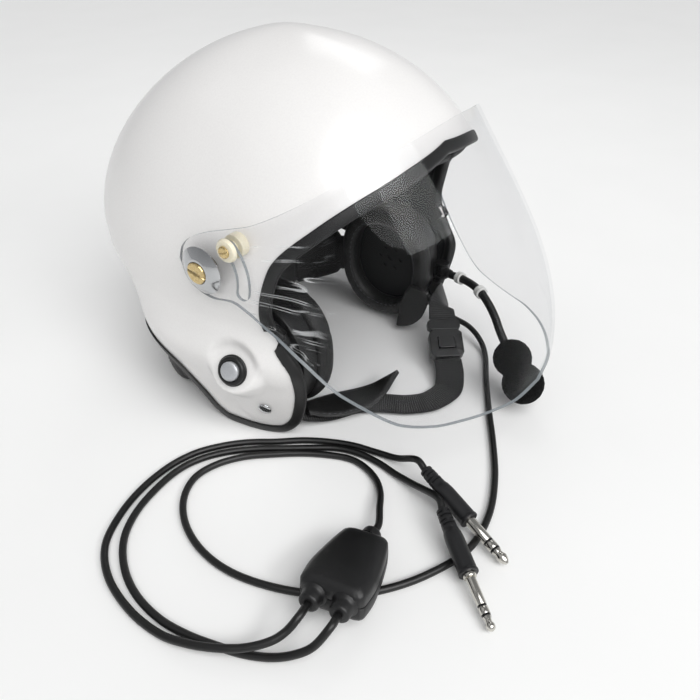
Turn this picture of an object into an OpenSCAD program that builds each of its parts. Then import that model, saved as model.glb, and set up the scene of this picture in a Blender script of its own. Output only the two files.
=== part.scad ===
// Open-face flying helmet with a swing-up visor, boom microphone, push button and intercom cords.
// Lengths are millimetres. X runs to the wearer's left, -Y is forward, Z is up from the table.

/* [Shell] */
// Height of the dome above the table
dome_top = 228.4; // [222:0.2:236]
// Half width of the dome at the visor pivots
dome_side = 109; // [106:0.5:112]
// Reach of the dome in front of its centre
dome_front = 126.5; // [120:0.5:132]
// Reach of the dome behind its centre
dome_rear = 135; // [128:0.5:142]
// Wall of the composite shell
shell_wall = 3.5; // [2.5:0.1:5]
// Thickness of the energy-absorbing liner
liner_thick = 20; // [15:0.5:24]
// Thickness of the sewn crown lining
lining_thick = 6.5; // [4:0.5:8]
// How far the rubber edge bead stands off the wall
bead_proud = 1.4; // [1:0.1:2]
// How far the bead reaches over the shell's edge
bead_reach = 6; // [5:0.5:8]

/* [Visor] */
// Thickness of the clear visor
visor_thick = 2; // [1.5:0.1:2.6]
// How far the visor's side faces stand off the dome at the pivots
visor_stand = 4.2; // [3.8:0.1:5]
// Pivot place, behind the frame's centre
pivot_y = 7; // [5:0.5:9]
// Pivot height
pivot_z = 121; // [119:0.5:123]
// Radius of the visor's turning bush
bush_r = 5; // [4:0.1:6]
// Running clearance of the visor on its bush, radial
bush_fit = 0.05; // [0.02:0.01:0.1]
// Radius of the conical finishing washer
washer_r = 14.5; // [12:0.5:15]
// Height of the conical finishing washer
washer_h = 4.2; // [3:0.1:5]
// Radius of the brass pivot screw's head
pivot_head_r = 6.5; // [5.5:0.1:7.5]
// Swing of the visor from closed to open
visor_swing = 55; // [45:1:60]
// Distance of the stop from the pivot
stop_radius = 29; // [27:0.5:31]
// Angle of the stop above straight ahead
stop_angle = 41; // [36:1:46]
// Radius of the nylon stop washer
stop_washer_r = 6.85; // [6:0.1:7.5]
// Radius of the nylon shank in the slot
stop_shank_r = 3.5; // [3:0.1:4]
// Clearance round the nylon shank in the slot
slot_gap = 0.35; // [0.3:0.05:0.6]

/* [Push button] */
// Radius of the black button ring
ring_r = 9.2; // [8:0.1:10.5]
// Radius of the grey button cap
cap_r = 6; // [5:0.1:6.5]
// Running clearance of the cap in its ring, radial
cap_fit = 0.05; // [0.02:0.01:0.1]
// Travel of the cap
cap_travel = 1.5; // [1:0.1:2]
// How far the cap stands above the ring
cap_proud = 2.4; // [2:0.1:3.2]

/* [Ear cups and microphone] */
// Half length of an ear cup, front to back
cup_a = 34; // [30:0.5:36]
// Half height of an ear cup
cup_b = 40; // [36:0.5:41]
// Depth of an ear cup's housing
cup_depth = 19; // [15:0.5:20]
// How far the ear seal stands out past the housing all round
seal_over = 4; // [2:0.5:5]
// Thickness of the ear seal
seal_thick = 15; // [12:0.5:17]
// Radius of the microphone boom
boom_r = 3; // [2.5:0.1:3.5]
// Radius of the upper lobe of the foam muff
muff_r1 = 13; // [11:0.5:13.5]
// Radius of the lower lobe of the foam muff
muff_r2 = 14; // [12:0.5:14.5]

/* [Chin strap] */
// Width of the strap webbing
web_w = 20; // [16:1:22]
// Thickness of the strap webbing
web_t = 1.6; // [1.2:0.1:2]
// Radius of the strap rivet's head
rivet_r = 4.5; // [4:0.1:5.5]

/* [Cords, junction box and plugs] */
// Diameter of all cords
cord_d = 4.2; // [4:0.1:4.4]
// Length of the junction box
box_len = 47; // [44:0.5:50]
// Width of the box at its single-cord end
box_w1 = 26; // [24:0.5:28]
// Width of the box at its widest
box_w2 = 37; // [34:0.5:39]
// Height of the box
box_h = 20; // [18:0.5:22]
// Wall of the box
box_wall = 2; // [1.5:0.1:2.5]
// Radius of the headphone plug's barrel
phone_plug_r = 3.175; // [3.1:0.005:3.25]
// Radius of the microphone plug's barrel
mic_plug_r = 2.615; // [2.55:0.005:2.7]
// Length of a plug's metal part
plug_len = 31; // [29:0.5:33]
// Radius of a plug's moulded grip
grip_r = 5.3; // [5:0.1:5.8]

/* [Hidden] */
$fn = 48;

// Space between pieces that are laid against each other
seat = 0.4;
function unit(v) = v / norm(v);
function clamp(x, lo, hi) = min(max(x, lo), hi);
function slope(a, b) = a * b <= 0 ? 0 : 2 * a * b / (a + b);

// Smooth curve through stations that never overshoots them
function through(xs, ys, x) =
    let(n = len(xs),
        i = clamp(len([for (v = xs) if (v <= x) 1]) - 1, 0, n - 2),
        d = [for (k = [0:n - 2]) (ys[k + 1] - ys[k]) / (xs[k + 1] - xs[k])],
        m0 = i == 0 ? d[0] : slope(d[i - 1], d[i]),
        m1 = i == n - 2 ? d[n - 2] : slope(d[i], d[i + 1]),
        h = xs[i + 1] - xs[i],
        t = clamp((x - xs[i]) / h, 0, 1))
    (2 * t^3 - 3 * t^2 + 1) * ys[i] + (t^3 - 2 * t^2 + t) * h * m0
    + (3 * t^2 - 2 * t^3) * ys[i + 1] + (t^3 - t^2) * h * m1;

// A solid skin over rings of equal length, closed at both ends on a middle point
module skin(rings, first, last) {
    n = len(rings[0]);
    m = len(rings);
    sides = [for (i = [0:m - 2]) for (j = [0:n - 1]) let(k = (j + 1) % n)
        each [[i * n + j, i * n + k, (i + 1) * n + k], [i * n + j, (i + 1) * n + k, (i + 1) * n + j]]];
    ends = [for (j = [0:n - 1]) let(k = (j + 1) % n)
        each [[m * n, k, j], [m * n + 1, (m - 1) * n + j, (m - 1) * n + k]]];
    polyhedron(points = concat([for (r = rings) each r], [first, last]), faces = concat(sides, ends), convexity = 12);
}
function middle(ring) = [for (k = [0:2]) let(v = [for (p = ring) p[k]]) v * [for (p = ring) 1] / len(ring)];
module skin_ends(rings) { skin(rings, middle(rings[0]), middle(rings[len(rings) - 1])); }

// Rings joined into a closed loop, such as a bead round an edge
module skin_loop(rings) {
    n = len(rings[0]);
    m = len(rings);
    polyhedron(points = [for (r = rings) each r], convexity = 12,
        faces = [for (i = [0:m - 1]) for (j = [0:n - 1]) let(a = i * n, b = ((i + 1) % m) * n, k = (j + 1) % n)
            each [[a + j, a + k, b + k], [a + j, b + k, b + j]]]);
}

// Shell form: horizontal sections whose side, rear and front reaches change with height
dome_y = 25.3;
dome_z = 110;
section_power = 2.5;
side_power = 1.75;
rear_power = 1.75;
front_power = 2.15;
level = [0, 20, 40, 60, 76, 88, 98, dome_z];
side_in = [6, 2, -3, -8, -3.5, -0.5, 0, 0];
rear_in = [47, 47, 46, 42, 28, 11, 1, 0];
front_in = [28.5, 23.5, 18.5, 13.5, 9.5, 5.5, 2.5, 0];
function dome(reach, power, h) = reach * pow(1 - pow(clamp((h - dome_z) / (dome_top - dome_z), 0, 0.99999), power), 1 / power);
function reach(full, inset, power, h, off) =
    h < dome_z ? full - through(level, inset, h) - off : dome(full - off, power, h);
function shell_point(th, h, off) =
    let(a = reach(dome_side, side_in, side_power, h, off),
        b = cos(th) > 0 ? reach(dome_front, front_in, front_power, h, off) : reach(dome_rear, rear_in, rear_power, h, off),
        r = pow(pow(abs(sin(th)) / a, section_power) + pow(abs(cos(th)) / b, section_power), -1 / section_power),
        z = h < dome_z ? h : dome_z + (h - dome_z) / (dome_top - dome_z) * (dome_top - off - dome_z))
    [r * sin(th), dome_y - r * cos(th), z];

// Grid lines run from a pole high at the back to the edge all round
low_span = 150;
pole = [0, cos(50), sin(50)];
function to_dir(th, h) =
    let(z = (h - dome_z) / (h > dome_z ? dome_top - dome_z : low_span), c = sqrt(1 - z * z))
    [c * sin(th), -c * cos(th), z];
function between(a, b, s) = let(w = acos(a * b)) (sin((1 - s) * w) * a + sin(s * w) * b) / sin(w);
function toward(d, s) = between(pole, d, s);
function on_shell(d, off) = shell_point(atan2(d.x, -d.y), dome_z + d.z * (d.z > 0 ? dome_top - dome_z : low_span), off);

// Edge lines: turn from straight ahead, and height, from the brow round one side to the nape
edge_turn = [0, 16, 32, 46.5, 58.5, 61.5, 57.5, 53.5, 52.6, 54.5, 60.5, 69, 81, 87, 93, 101, 113, 130, 155, 180];
edge_z = [174, 170, 161, 146, 124, 98, 77, 61, 42, 16, 3, 1.3, 1.3, 6, 20, 37, 46, 48, 43, 40];
liner_turn = [0, 18, 36, 50, 60, 68, 78, 92, 108, 130, 155, 180];
liner_z = [182, 178, 168, 155, 138, 118, 109, 107, 112, 119, 122, 121];
lining_z = [187, 183, 173, 160, 144, 125, 118, 117, 121, 126, 129, 129];
function edge_dir(turns, heights, t) =
    let(k = [for (i = [0:len(turns) - 1]) i / (len(turns) - 1)])
    to_dir(sign(t) * through(k, turns, abs(t)), through(k, heights, abs(t)));
around = 72;
// Shell grid: from the pole to a girdle above the ears, then down to the edge, as steps of 1 and of 2
girdle_turn = [0, 17, 34, 50, 63, 69, 71.5, 73.5, 75.5, 78, 81, 84.5, 88.5, 92.5, 97, 103, 113, 130, 155, 180];
girdle_z = [190, 187, 178, 164, 148, 134, 125, 118, 113, 110, 108, 107, 106, 106, 106, 106, 107, 108, 110, 110];
shell_steps = [0.13, 0.26, 0.39, 0.52, 0.64, 0.74, 0.83, 0.92, 1, 1.13, 1.26, 1.39, 1.52, 1.64, 1.75, 1.85, 1.93, 2];
function shell_dir(t, s) = let(g = edge_dir(girdle_turn, girdle_z, t))
    s <= 1 ? toward(g, s) : between(g, edge_dir(edge_turn, edge_z, t), s - 1);
function circuit(n) = [for (i = [0:n - 1]) -1 + 2 * i / n];

// A layer of the helmet between two depths below the outer face
module layer(turns, heights, depth, thick, n, steps) {
    dirs = [for (t = circuit(n)) edge_dir(turns, heights, t)];
    rows = len(steps) - 1;
    outer = [for (k = [0:rows]) [for (d = dirs) on_shell(toward(d, steps[k]), depth)]];
    inner = [for (k = [rows:-1:0]) [for (d = dirs) on_shell(toward(d, steps[k]), depth + thick)]];
    skin(concat(outer, inner), on_shell(pole, depth), on_shell(pole, depth + thick));
}

// Places of the hardware on the sides
stop_y = pivot_y - stop_radius * cos(stop_angle);
stop_z = pivot_z + stop_radius * sin(stop_angle);
rivet_y = -21;
rivet_z = 25;
// Half width of the shell's outer face at a place seen from the side
function side_at(y, z, off = 0) =
    let(a = reach(dome_side, side_in, side_power, z, off),
        b = y < dome_y ? reach(dome_front, front_in, front_power, z, off) : reach(dome_rear, rear_in, rear_power, z, off))
    a * pow(1 - pow(abs(y - dome_y) / b, section_power), 1 / section_power);
module both_sides() { children(); mirror([1, 0, 0]) children(); }
// A round bar from one distance off the middle plane to another, at a place seen from the side
module side_bar(y, z, r, x1, x2, r2 = -1) {
    translate([x1, y, z]) rotate([0, 90, 0]) cylinder(r1 = r, r2 = r2 < 0 ? r : r2, h = x2 - x1);
}
visor_half = dome_side + visor_stand;
bush_bore_gap = 0.4;
pivot_bush_end = dome_side - 9;
button_spot = [-114.2, -8.5, 57];
button_tilt = 64;
button_yaw = 190;
barrel_r = ring_r - 2.4;
module at_button() { translate(button_spot) rotate([0, button_tilt, button_yaw]) children(); }
button_depth = 14;

// Moulded flat on the right ear bulge: the wall is drawn to a plane square to the button
button_axis = [sin(button_tilt) * cos(button_yaw), sin(button_tilt) * sin(button_yaw), cos(button_tilt)];
pad_r1 = 14.5;
pad_r2 = 20;
function flatten(p, off) = let(
        v = p - button_spot,
        lift = v * button_axis + off,
        w = p.x > 0 ? 0 : 1 - through([pad_r1, pad_r2], [0, 1], norm(v - (v * button_axis) * button_axis)))
    p - (abs(lift) > 40 ? 0 : w * lift) * button_axis;

module outer_shell() {
    rows = len(shell_steps) - 1;
    dirs = [for (s = shell_steps) [for (t = circuit(around)) shell_dir(t, s)]];
    color("white") difference() {
        skin(concat([for (k = [0:rows]) [for (d = dirs[k]) flatten(on_shell(d, 0), 0)]],
                [for (k = [rows:-1:0]) [for (d = dirs[k]) flatten(on_shell(d, shell_wall), shell_wall)]]),
            on_shell(pole, 0), on_shell(pole, shell_wall));
        both_sides() {
            side_bar(pivot_y, pivot_z, bush_r + bush_bore_gap, 90, 120);
            side_bar(stop_y, stop_z, 2.4, 80, 120);
            at_rivet() translate([0, 0, -12]) cylinder(r = 2.2, h = 24);
        }
        at_button() translate([0, 0, -20]) cylinder(r = barrel_r + 0.2, h = 40);
    }
}

// Rubber bead with a channel that grips the edge, each section square to the edge line
function edge_at(t) = on_shell(edge_dir(edge_turn, edge_z, t), 0);
function bead_point(p, way, u, depth) =
    let(q = p + u * way, s = shell_point(atan2(q.x, dome_y - q.y), q.z, depth)) [s.x, s.y, max(s.z, 0)];
module edge_bead() {
    out = -bead_proud;
    deep = shell_wall + bead_proud;
    lip = -1.7;
    grip = -0.5;
    gap = 0.45;
    section = [[bead_reach, out], [0, out + 0.1], [lip, out + 0.8], [lip, deep - 0.8], [0, deep - 0.1], [bead_reach, deep],
        [bead_reach, shell_wall + gap], [grip, shell_wall + gap], [grip, -gap], [bead_reach, -gap]];
    rings = [for (t = circuit(around)) let(
            p = edge_at(t),
            ahead = unit(edge_at(t + 0.004 > 1 ? t - 1.996 : t + 0.004) - edge_at(t - 0.004 < -1 ? t + 1.996 : t - 0.004)),
            up = on_shell(shell_dir(t, 1.95), 0) - p,
            way = unit(up - (up * ahead) * ahead))
        [for (c = section) bead_point(p, way, c[0], c[1])]];
    color([0.05, 0.05, 0.05]) skin_loop([for (i = [len(rings) - 1:-1:0]) rings[i]]);
}

module impact_liner() {
    color([0.2, 0.2, 0.2]) difference() {
        layer(liner_turn, liner_z, shell_wall + 3 * seat, liner_thick, 48, [for (k = [1:12]) k / 12]);
        both_sides() {
            side_bar(pivot_y, pivot_z, 9, 92, 112);
            side_bar(stop_y, stop_z, 5, 84, 104);
        }
    }
}

// Sewn lining with a soft step at each seam between its panels
lining_depth = shell_wall + liner_thick + 5 * seat;
module crown_lining() {
    n = 48;
    rows = 11;
    dirs = [for (t = circuit(n)) edge_dir(liner_turn, lining_z, t)];
    color([0.08, 0.08, 0.09]) skin(concat(
            [for (k = [1:rows]) [for (d = dirs) on_shell(toward(d, k / rows), lining_depth)]],
            [for (k = [rows:-1:1]) [for (i = [0:n - 1]) on_shell(toward(dirs[i], k / rows),
                lining_depth + lining_thick * (k == rows ? 0.45 : 1) * (i % 8 == 0 ? 0.6 : 1))]]),
        on_shell(pole, lining_depth), on_shell(pole, lining_depth + lining_thick));
}

// A crowned pad that follows the shell: rings across it, fuller in the middle, drawn in at its ends
module shell_pad(turns, heights, half_tall, depth, half_thick, flat = -1000) {
    n = len(turns);
    steps = 26;
    k = [for (i = [0:n - 1]) i / (n - 1)];
    rings = [for (i = [0:steps]) let(t = -1 + 2 * i / steps,
            th = through([-1, 1], [-1, 1], t) * turns[n - 1],
            h = through([for (v = turns) v / turns[n - 1]], heights, abs(t)),
            fill = max(0.12, sqrt(1 - pow(abs(t), 8))) * (abs(i - steps / 2) % 4 == 2 ? 0.86 : 1))
        [for (j = [0:11]) let(c = cos(30 * j + 15), s = sin(30 * j + 15),
                q = shell_point(th, h + half_tall * fill * sign(s) * pow(abs(s), 0.8),
                    depth - half_thick * fill * sign(c) * pow(abs(c), 0.8)))
            [q.x, q.y, max(q.z, flat)]]];
    skin_ends(rings);
}
module brow_pad() {
    color([0.07, 0.07, 0.08]) shell_pad([0, 18, 36, 49], [174.5, 170, 160.5, 149], 5.5, 15.2, 9.6);
}
module neck_roll() {
    // The roll hangs below the nape edge and is flat where it stands
    steps = 26;
    sweep = 78;
    rings = [for (i = [0:steps]) let(t = -1 + 2 * i / steps,
            th = 180 - t * sweep,
            fill = max(0.15, sqrt(1 - pow(abs(t), 6))) * (i % 4 == 1 ? 0.9 : 1),
            rim = shell_point(th, 44, shell_wall + 0.9),
            out = unit([rim.x, rim.y - dome_y, 0]))
        [for (j = [0:13]) let(a = 360 / 14 * j, c = cos(a), s = sin(a),
                q = rim - 11.2 * out + 11 * fill * c * out)
            [q.x, q.y, max(0, 26.5 + 29 * fill * s)]]];
    color([0.07, 0.07, 0.08]) skin_ends(rings);
}

// Ear cups
cup_y = -7;
cup_z = 50;
cup_x1 = 72.3;
cup_x2 = cup_x1 + cup_depth;
cup_wall = 2.2;
function oval(a, b, power, n) = [for (i = [0:n - 1]) let(t = 360 * i / n, c = cos(t), s = sin(t))
    [a * sign(c) * pow(abs(c), 2 / power), b * sign(s) * pow(abs(s), 2 / power)]];
// An oval prism along X, at the ear cup's centre
module cup_prism(a, b, x1, x2) {
    translate([x1, cup_y, cup_z]) rotate([90, 0, 90]) linear_extrude(height = x2 - x1) polygon(oval(a, b, 2.3, 48));
}
foot_y = 16;
foot_z = 48;
module ear_cup() {
    difference() {
        union() {
            cup_prism(cup_a, cup_b, cup_x1, cup_x2 - 5);
            cup_prism(cup_a - 5, cup_b - 5, cup_x2 - 5, cup_x2);
            // Foot that carries the cup on the shell
            side_bar(foot_y, foot_z, 7, cup_x2 - 1, side_at(foot_y - 7, foot_z - 7, shell_wall) - 0.5);
        }
        cup_prism(cup_a - cup_wall, cup_b - cup_wall, cup_x1 - 1, cup_x2 - 5 - cup_wall);
    }
}
module right_ear_cup() { color([0.06, 0.06, 0.06]) mirror([1, 0, 0]) ear_cup(); }
module left_ear_cup() { color([0.06, 0.06, 0.06]) ear_cup(); }
// Soft ring cushion: full in the middle of its width, drawn in at the stitched edges
module ear_seal() {
    n = 36;
    band = 12;
    x_mid = cup_x1 - seat - seal_thick / 2;
    rings = [for (i = [0:n - 1]) let(t = 360 * i / n, c = cos(t), s = sin(t),
            e = [sign(c) * pow(abs(c), 2 / 2.3), sign(s) * pow(abs(s), 2 / 2.3)])
        [for (j = [0:9]) let(a = 36 * j, u = band / 2 * sign(cos(a)) * pow(abs(cos(a)), 0.75),
                w = seal_thick / 2 * sign(sin(a)) * pow(abs(sin(a)), 0.75) * (i % 4 == 0 ? 0.94 : 1))
            [x_mid + w, cup_y + (cup_a + seal_over - band / 2 + u) * e[0], cup_z + (cup_b + seal_over - band / 2 + u) * e[1]]]];
    skin_loop(rings);
}
module right_ear_seal() { color([0.05, 0.05, 0.05]) mirror([1, 0, 0]) ear_seal(); }
module left_ear_seal() { color([0.05, 0.05, 0.05]) ear_seal(); }
// Speaker: magnet, basket and front grille
module speaker() {
    side_bar(cup_y, cup_z, 20, cup_x1 + 2, cup_x1 + 5);
    side_bar(cup_y, cup_z, 14, cup_x1 + 5, cup_x2 - 5 - cup_wall - 0.3, 9);
    difference() {
        cup_prism(cup_a - cup_wall - 0.3, cup_b - cup_wall - 0.3, cup_x1 + 0.6, cup_x1 + 2);
        for (a = [0:60:300]) side_bar(cup_y + 9 * cos(a), cup_z + 9 * sin(a), 2, cup_x1, cup_x1 + 3);
        side_bar(cup_y, cup_z, 3, cup_x1, cup_x1 + 1.8);
    }
}
module right_speaker() { color([0.15, 0.15, 0.15]) mirror([1, 0, 0]) speaker(); }
module left_speaker() { color([0.15, 0.15, 0.15]) speaker(); }

// The stations were drawn for a visor of this half width about a pivot in this place
drawn_half = 113.2;
drawn_y = 7;
drawn_z = 121;
// Visor stations from the front centre to the rear of the ear: upper edge, lower edge, bulge and its direction
upper_x = [0, 20, 40, 60, 78, 92, 102, 108.5, 112, 113.2, 113.2, 113.2, 113.2, 113.2];
upper_y = [-88, -87, -82, -73, -61.5, -49, -38, -26, -13, -1, 8, 16, 21.5, 24];
upper_z = [195, 194, 190, 183.5, 175, 166.5, 160, 154.5, 150.5, 146.5, 142.5, 137.5, 131, 124];
lower_x = [0, 24, 45, 62, 75, 85, 92.5, 100, 106.2, 111, 113.2, 113.2, 113.2, 113.2];
lower_y = [-160.5, -157.5, -149, -138, -126, -110, -75, -50, -34, -23, -12, 2, 14, 21.5];
lower_z = [42, 42, 42, 41.5, 40.5, 40.5, 50, 71, 89, 101, 106, 104, 107, 114.5];
bulge = [14, 14, 13.5, 12.5, 11, 9, 6.5, 4, 1.5, 0, 0, 0, 0, 0];
bulge_turn = [0, 10, 26, 42, 58, 72, 82, 88, 90, 90, 90, 90, 90, 90];
station = [for (i = [0:len(upper_x) - 1]) i];
// The side faces follow the half width, and the rest of the section keeps its form
function wide(x) = x * visor_half / drawn_half;
// Round the pivot the ear is a shallow cone, so that it keeps its gap to the stop as it swings
function ear_fall(far) = 0.0055 * pow(max(0, far - 18), 2);
function visor_point(a, v, side) =
    let(up = [wide(through(station, upper_x, a)), through(station, upper_y, a), through(station, upper_z, a)],
        low = [wide(through(station, lower_x, a)), through(station, lower_y, a), through(station, lower_z, a)],
        b = through(station, bulge, a) * 4 * v * (1 - v) * (1 + 0.5 * (2 * v - 1)),
        turn = through(station, bulge_turn, a),
        p = up + (low - up) * v + b * [sin(turn), -cos(turn), 0.12 * cos(turn)],
        far = norm([p.y - drawn_y, p.z - drawn_z]),
        near = a < 5 ? 0 : 1 - through([38, 58], [0, 1], far))
    [side * (p.x * (1 - near) + near * (visor_half - ear_fall(far))), p.y + (pivot_y - drawn_y), p.z + (pivot_z - drawn_z)];
visor_cols = 52;
visor_rows = 9;
last_station = len(upper_x) - 1;
function visor_grid() = [for (i = [0:visor_cols]) let(u = 2 * i / visor_cols - 1)
    [for (j = [0:visor_rows]) visor_point(abs(u) * last_station, j / visor_rows, u < 0 ? -1 : 1)]];
function grid_normal(g, i, j) =
    let(du = g[min(i + 1, len(g) - 1)][j] - g[max(i - 1, 0)][j],
        dv = g[i][min(j + 1, len(g[0]) - 1)] - g[i][max(j - 1, 0)])
    unit(cross(du, dv));
module visor() {
    g = visor_grid();
    rings = [for (i = [0:visor_cols]) concat(
        [for (j = [0:visor_rows]) g[i][j]],
        [for (j = [visor_rows:-1:0]) g[i][j] + visor_thick * grid_normal(g, i, j)])];
    color([0.85, 0.9, 0.95, 0.35]) difference() {
        skin_ends(rings);
        both_sides() {
            side_bar(pivot_y, pivot_z, bush_r + bush_fit, visor_half - 8, visor_half + 4);
            stop_slot();
        }
    }
}
// Curved slot about the pivot, long enough for the whole swing, with a small catch at its end
module stop_slot() {
    r = stop_shank_r + slot_gap;
    over = 1;
    translate([visor_half - 8, pivot_y, pivot_z]) rotate([90, 0, 90]) {
        for (a = [180 - stop_angle - over, 180 - stop_angle + visor_swing + over])
            translate([stop_radius * cos(a), stop_radius * sin(a), 0]) cylinder(r = r, h = 12);
        rotate([0, 0, 180 - stop_angle - over]) rotate_extrude(angle = visor_swing + 2 * over, $fn = 96)
            translate([stop_radius - r, 0]) square([2 * r, 12]);
    }
}

// Visor pivots: spacer, conical washer, brass shoulder screw and nut, on each side
visor_in = visor_half - visor_thick;
spacer_r = 9;
module pivot_spacers() {
    start = side_at(pivot_y, pivot_z - spacer_r) + 0.25;
    color([0.1, 0.1, 0.1]) both_sides() difference() {
        side_bar(pivot_y, pivot_z, spacer_r, start, visor_in - 0.35);
        side_bar(pivot_y, pivot_z, bush_r + 0.15, start - 1, visor_in + 1);
    }
}
washer_x = visor_half + 0.35;
module pivot_washers() {
    color([0.8, 0.8, 0.8]) both_sides() difference() {
        side_bar(pivot_y, pivot_z, washer_r, washer_x, washer_x + washer_h, pivot_head_r + 1.6);
        side_bar(pivot_y, pivot_z, bush_r + 0.15, washer_x - 1, washer_x + washer_h + 1);
        side_bar(pivot_y, pivot_z, pivot_head_r + 0.2, washer_x + washer_h - 1.6, washer_x + washer_h + 1);
    }
}
head_x = washer_x + washer_h - 1.5;
head_top = head_x + 2.7;
module pivot_screws() {
    color([0.75, 0.6, 0.3]) both_sides() difference() {
        union() {
            side_bar(pivot_y, pivot_z, bush_r, pivot_bush_end, head_x);
            side_bar(pivot_y, pivot_z, pivot_head_r, head_x, head_top - 0.8);
            side_bar(pivot_y, pivot_z, pivot_head_r, head_top - 0.8, head_top, pivot_head_r - 0.8);
        }
        // Driver slot, turned a little from level
        translate([head_top, pivot_y, pivot_z]) rotate([12, 0, 0]) cube([2.4, 2 * pivot_head_r + 2, 1.4], center = true);
    }
}
module pivot_nuts() {
    flange = side_at(pivot_y - 7, pivot_z + 7, shell_wall) - 0.6;
    color([0.7, 0.7, 0.7]) both_sides() difference() {
        union() {
            side_bar(pivot_y, pivot_z, 8, flange - 1.6, flange);
            side_bar(pivot_y, pivot_z, 7, pivot_bush_end - 1.5, flange - 1.4);
        }
        side_bar(pivot_y, pivot_z, bush_r + 0.1, pivot_bush_end - 0.2, flange + 1);
    }
}

// Visor stops: nylon spacer with a shank in the slot, nylon washer and brass screw, on each side
stop_cap_x = visor_half + 0.2;
stop_face_x = visor_in - ear_fall(stop_radius + stop_washer_r) - 0.5;
stop_screw_r = 2.2;
module stop_spacers() {
    start = side_at(stop_y, stop_z - stop_washer_r) + 0.45;
    color([0.95, 0.92, 0.8]) both_sides() difference() {
        union() {
            side_bar(stop_y, stop_z, stop_washer_r, start, stop_face_x);
            side_bar(stop_y, stop_z, stop_shank_r, stop_face_x - 1, stop_cap_x);
        }
        side_bar(stop_y, stop_z, stop_screw_r, start - 1, stop_cap_x + 1);
    }
}
stop_washer_h = 2.6;
module stop_washers() {
    color([0.95, 0.92, 0.8]) both_sides() difference() {
        side_bar(stop_y, stop_z, stop_washer_r, stop_cap_x + 0.1, stop_cap_x + stop_washer_h, stop_washer_r - 0.8);
        side_bar(stop_y, stop_z, stop_screw_r, stop_cap_x - 1, stop_cap_x + stop_washer_h + 1);
    }
}
module stop_screws() {
    top = stop_cap_x + stop_washer_h;
    tail = side_at(stop_y, stop_z, shell_wall) - 6;
    color([0.75, 0.6, 0.3]) both_sides() difference() {
        union() {
            side_bar(stop_y, stop_z, stop_screw_r - 0.1, tail, top + 0.5);
            side_bar(stop_y, stop_z, 3.5, top + 0.1, top + 1.9);
        }
        translate([top + 1.9, stop_y, stop_z]) rotate([-25, 0, 0]) cube([1.6, 9, 0.9], center = true);
    }
}

// Push button on the right ear bulge
ring_base = 1.6;
ring_h = 2;
module button_ring() {
    color([0.05, 0.05, 0.05]) at_button() difference() {
        union() {
            translate([0, 0, ring_base]) cylinder(r1 = ring_r, r2 = ring_r - 0.9, h = ring_h);
            translate([0, 0, -button_depth]) cylinder(r = barrel_r, h = button_depth + ring_base);
        }
        translate([0, 0, -button_depth - 1]) cylinder(r = cap_r + cap_fit, h = button_depth + 8);
    }
}
cap_skirt = 2.4;
module button_cap() {
    top = ring_base + ring_h + cap_proud;
    color([0.6, 0.6, 0.62]) at_button() {
        translate([0, 0, -cap_skirt]) cylinder(r = cap_r, h = top + cap_skirt - 1.6);
        // Domed top
        rotate_extrude() polygon(concat([[0, top - 1.7]],
            [for (a = [0:15:90]) [cap_r * cos(a), top - 1.6 + 1.6 * sin(a)]]));
    }
}
module button_switch() {
    color([0.1, 0.1, 0.1]) at_button() {
        translate([0, 0, -button_depth]) cylinder(r = cap_r - 0.2, h = 7);
        translate([0, 0, -button_depth + 7]) cylinder(r = 2.5, h = button_depth - 7 - cap_skirt - cap_travel - 0.35);
    }
}

// Strap rivets through the ear bulges
function side_way(y, z) = unit([1, (side_at(y - 2, z) - side_at(y + 2, z)) / 4, (side_at(y, z - 2) - side_at(y, z + 2)) / 4]);
module at_rivet() { along([side_at(rivet_y, rivet_z), rivet_y, rivet_z], side_way(rivet_y, rivet_z)) children(); }
module strap_rivets() {
    color([0.8, 0.8, 0.8]) both_sides() at_rivet() {
        translate([0, 0, 0.9]) cylinder(r = rivet_r, h = 0.5);
        translate([0, 0, 1.3]) cylinder(r1 = rivet_r, r2 = rivet_r - 1.6, h = 1);
        translate([0, 0, -5]) cylinder(r = 2, h = 6);
    }
}

// A flat band along a route: each station has a place and the direction of the band's width
module band(stations, width, thick) {
    n = len(stations);
    rings = [for (i = [0:n - 1]) let(p = stations[i][0], w = unit(stations[i][1]),
            d = unit(stations[min(i + 1, n - 1)][0] - stations[max(i - 1, 0)][0]),
            side = unit(w - (w * d) * d), up = cross(d, side), h = width * stations[i][2] / 2)
        [p + h * side + thick / 2 * up, p - h * side + thick / 2 * up,
            p - h * side - thick / 2 * up, p + h * side - thick / 2 * up]];
    skin_ends([for (i = [n - 1:-1:0]) rings[i]]);
}
buckle_at = [33, -79, 19];
buckle_turn = [0, -28, 38];
buckle_dir = [cos(28) * cos(38), cos(28) * sin(38), sin(28)];
buckle_side = [-sin(38), cos(38), 0];
right_route = [[[-97, -19, 33], [-0.3, 1, 0], 0.75], [[-95.4, -19, 24], [-0.3, 1, 0], 0.75], [[-92.6, -20, 15], [-0.3, 1, 0], 0.75],
    [[-85, -21.5, 9.2], [-0.25, 1, 0], 0.72], [[-79.5, -27.5, 6.6], [0.1, 1, 0], 0.8], [[-71, -35, 4.4], [0.35, 0.93, 0], 0.95],
    [[-61, -42.5, 3.2], [0.5, 0.87, 0], 1],
    [[-46, -52, 3], [0.6, 0.8, 0], 1], [[-35, -66, 2.8], [0.8, 0.6, 0], 1], [[-26, -82, 2.8], [0.8, 0.6, 0], 1],
    [[-13, -94, 3], [0.5, 0.87, 0], 1], [[2, -98, 4], [0, 1, 0], 1], [[13, -94, 8], [-0.4, 0.9, 0], 1],
    [buckle_at - 13.6 * buckle_dir, buckle_side, 1]];
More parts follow.
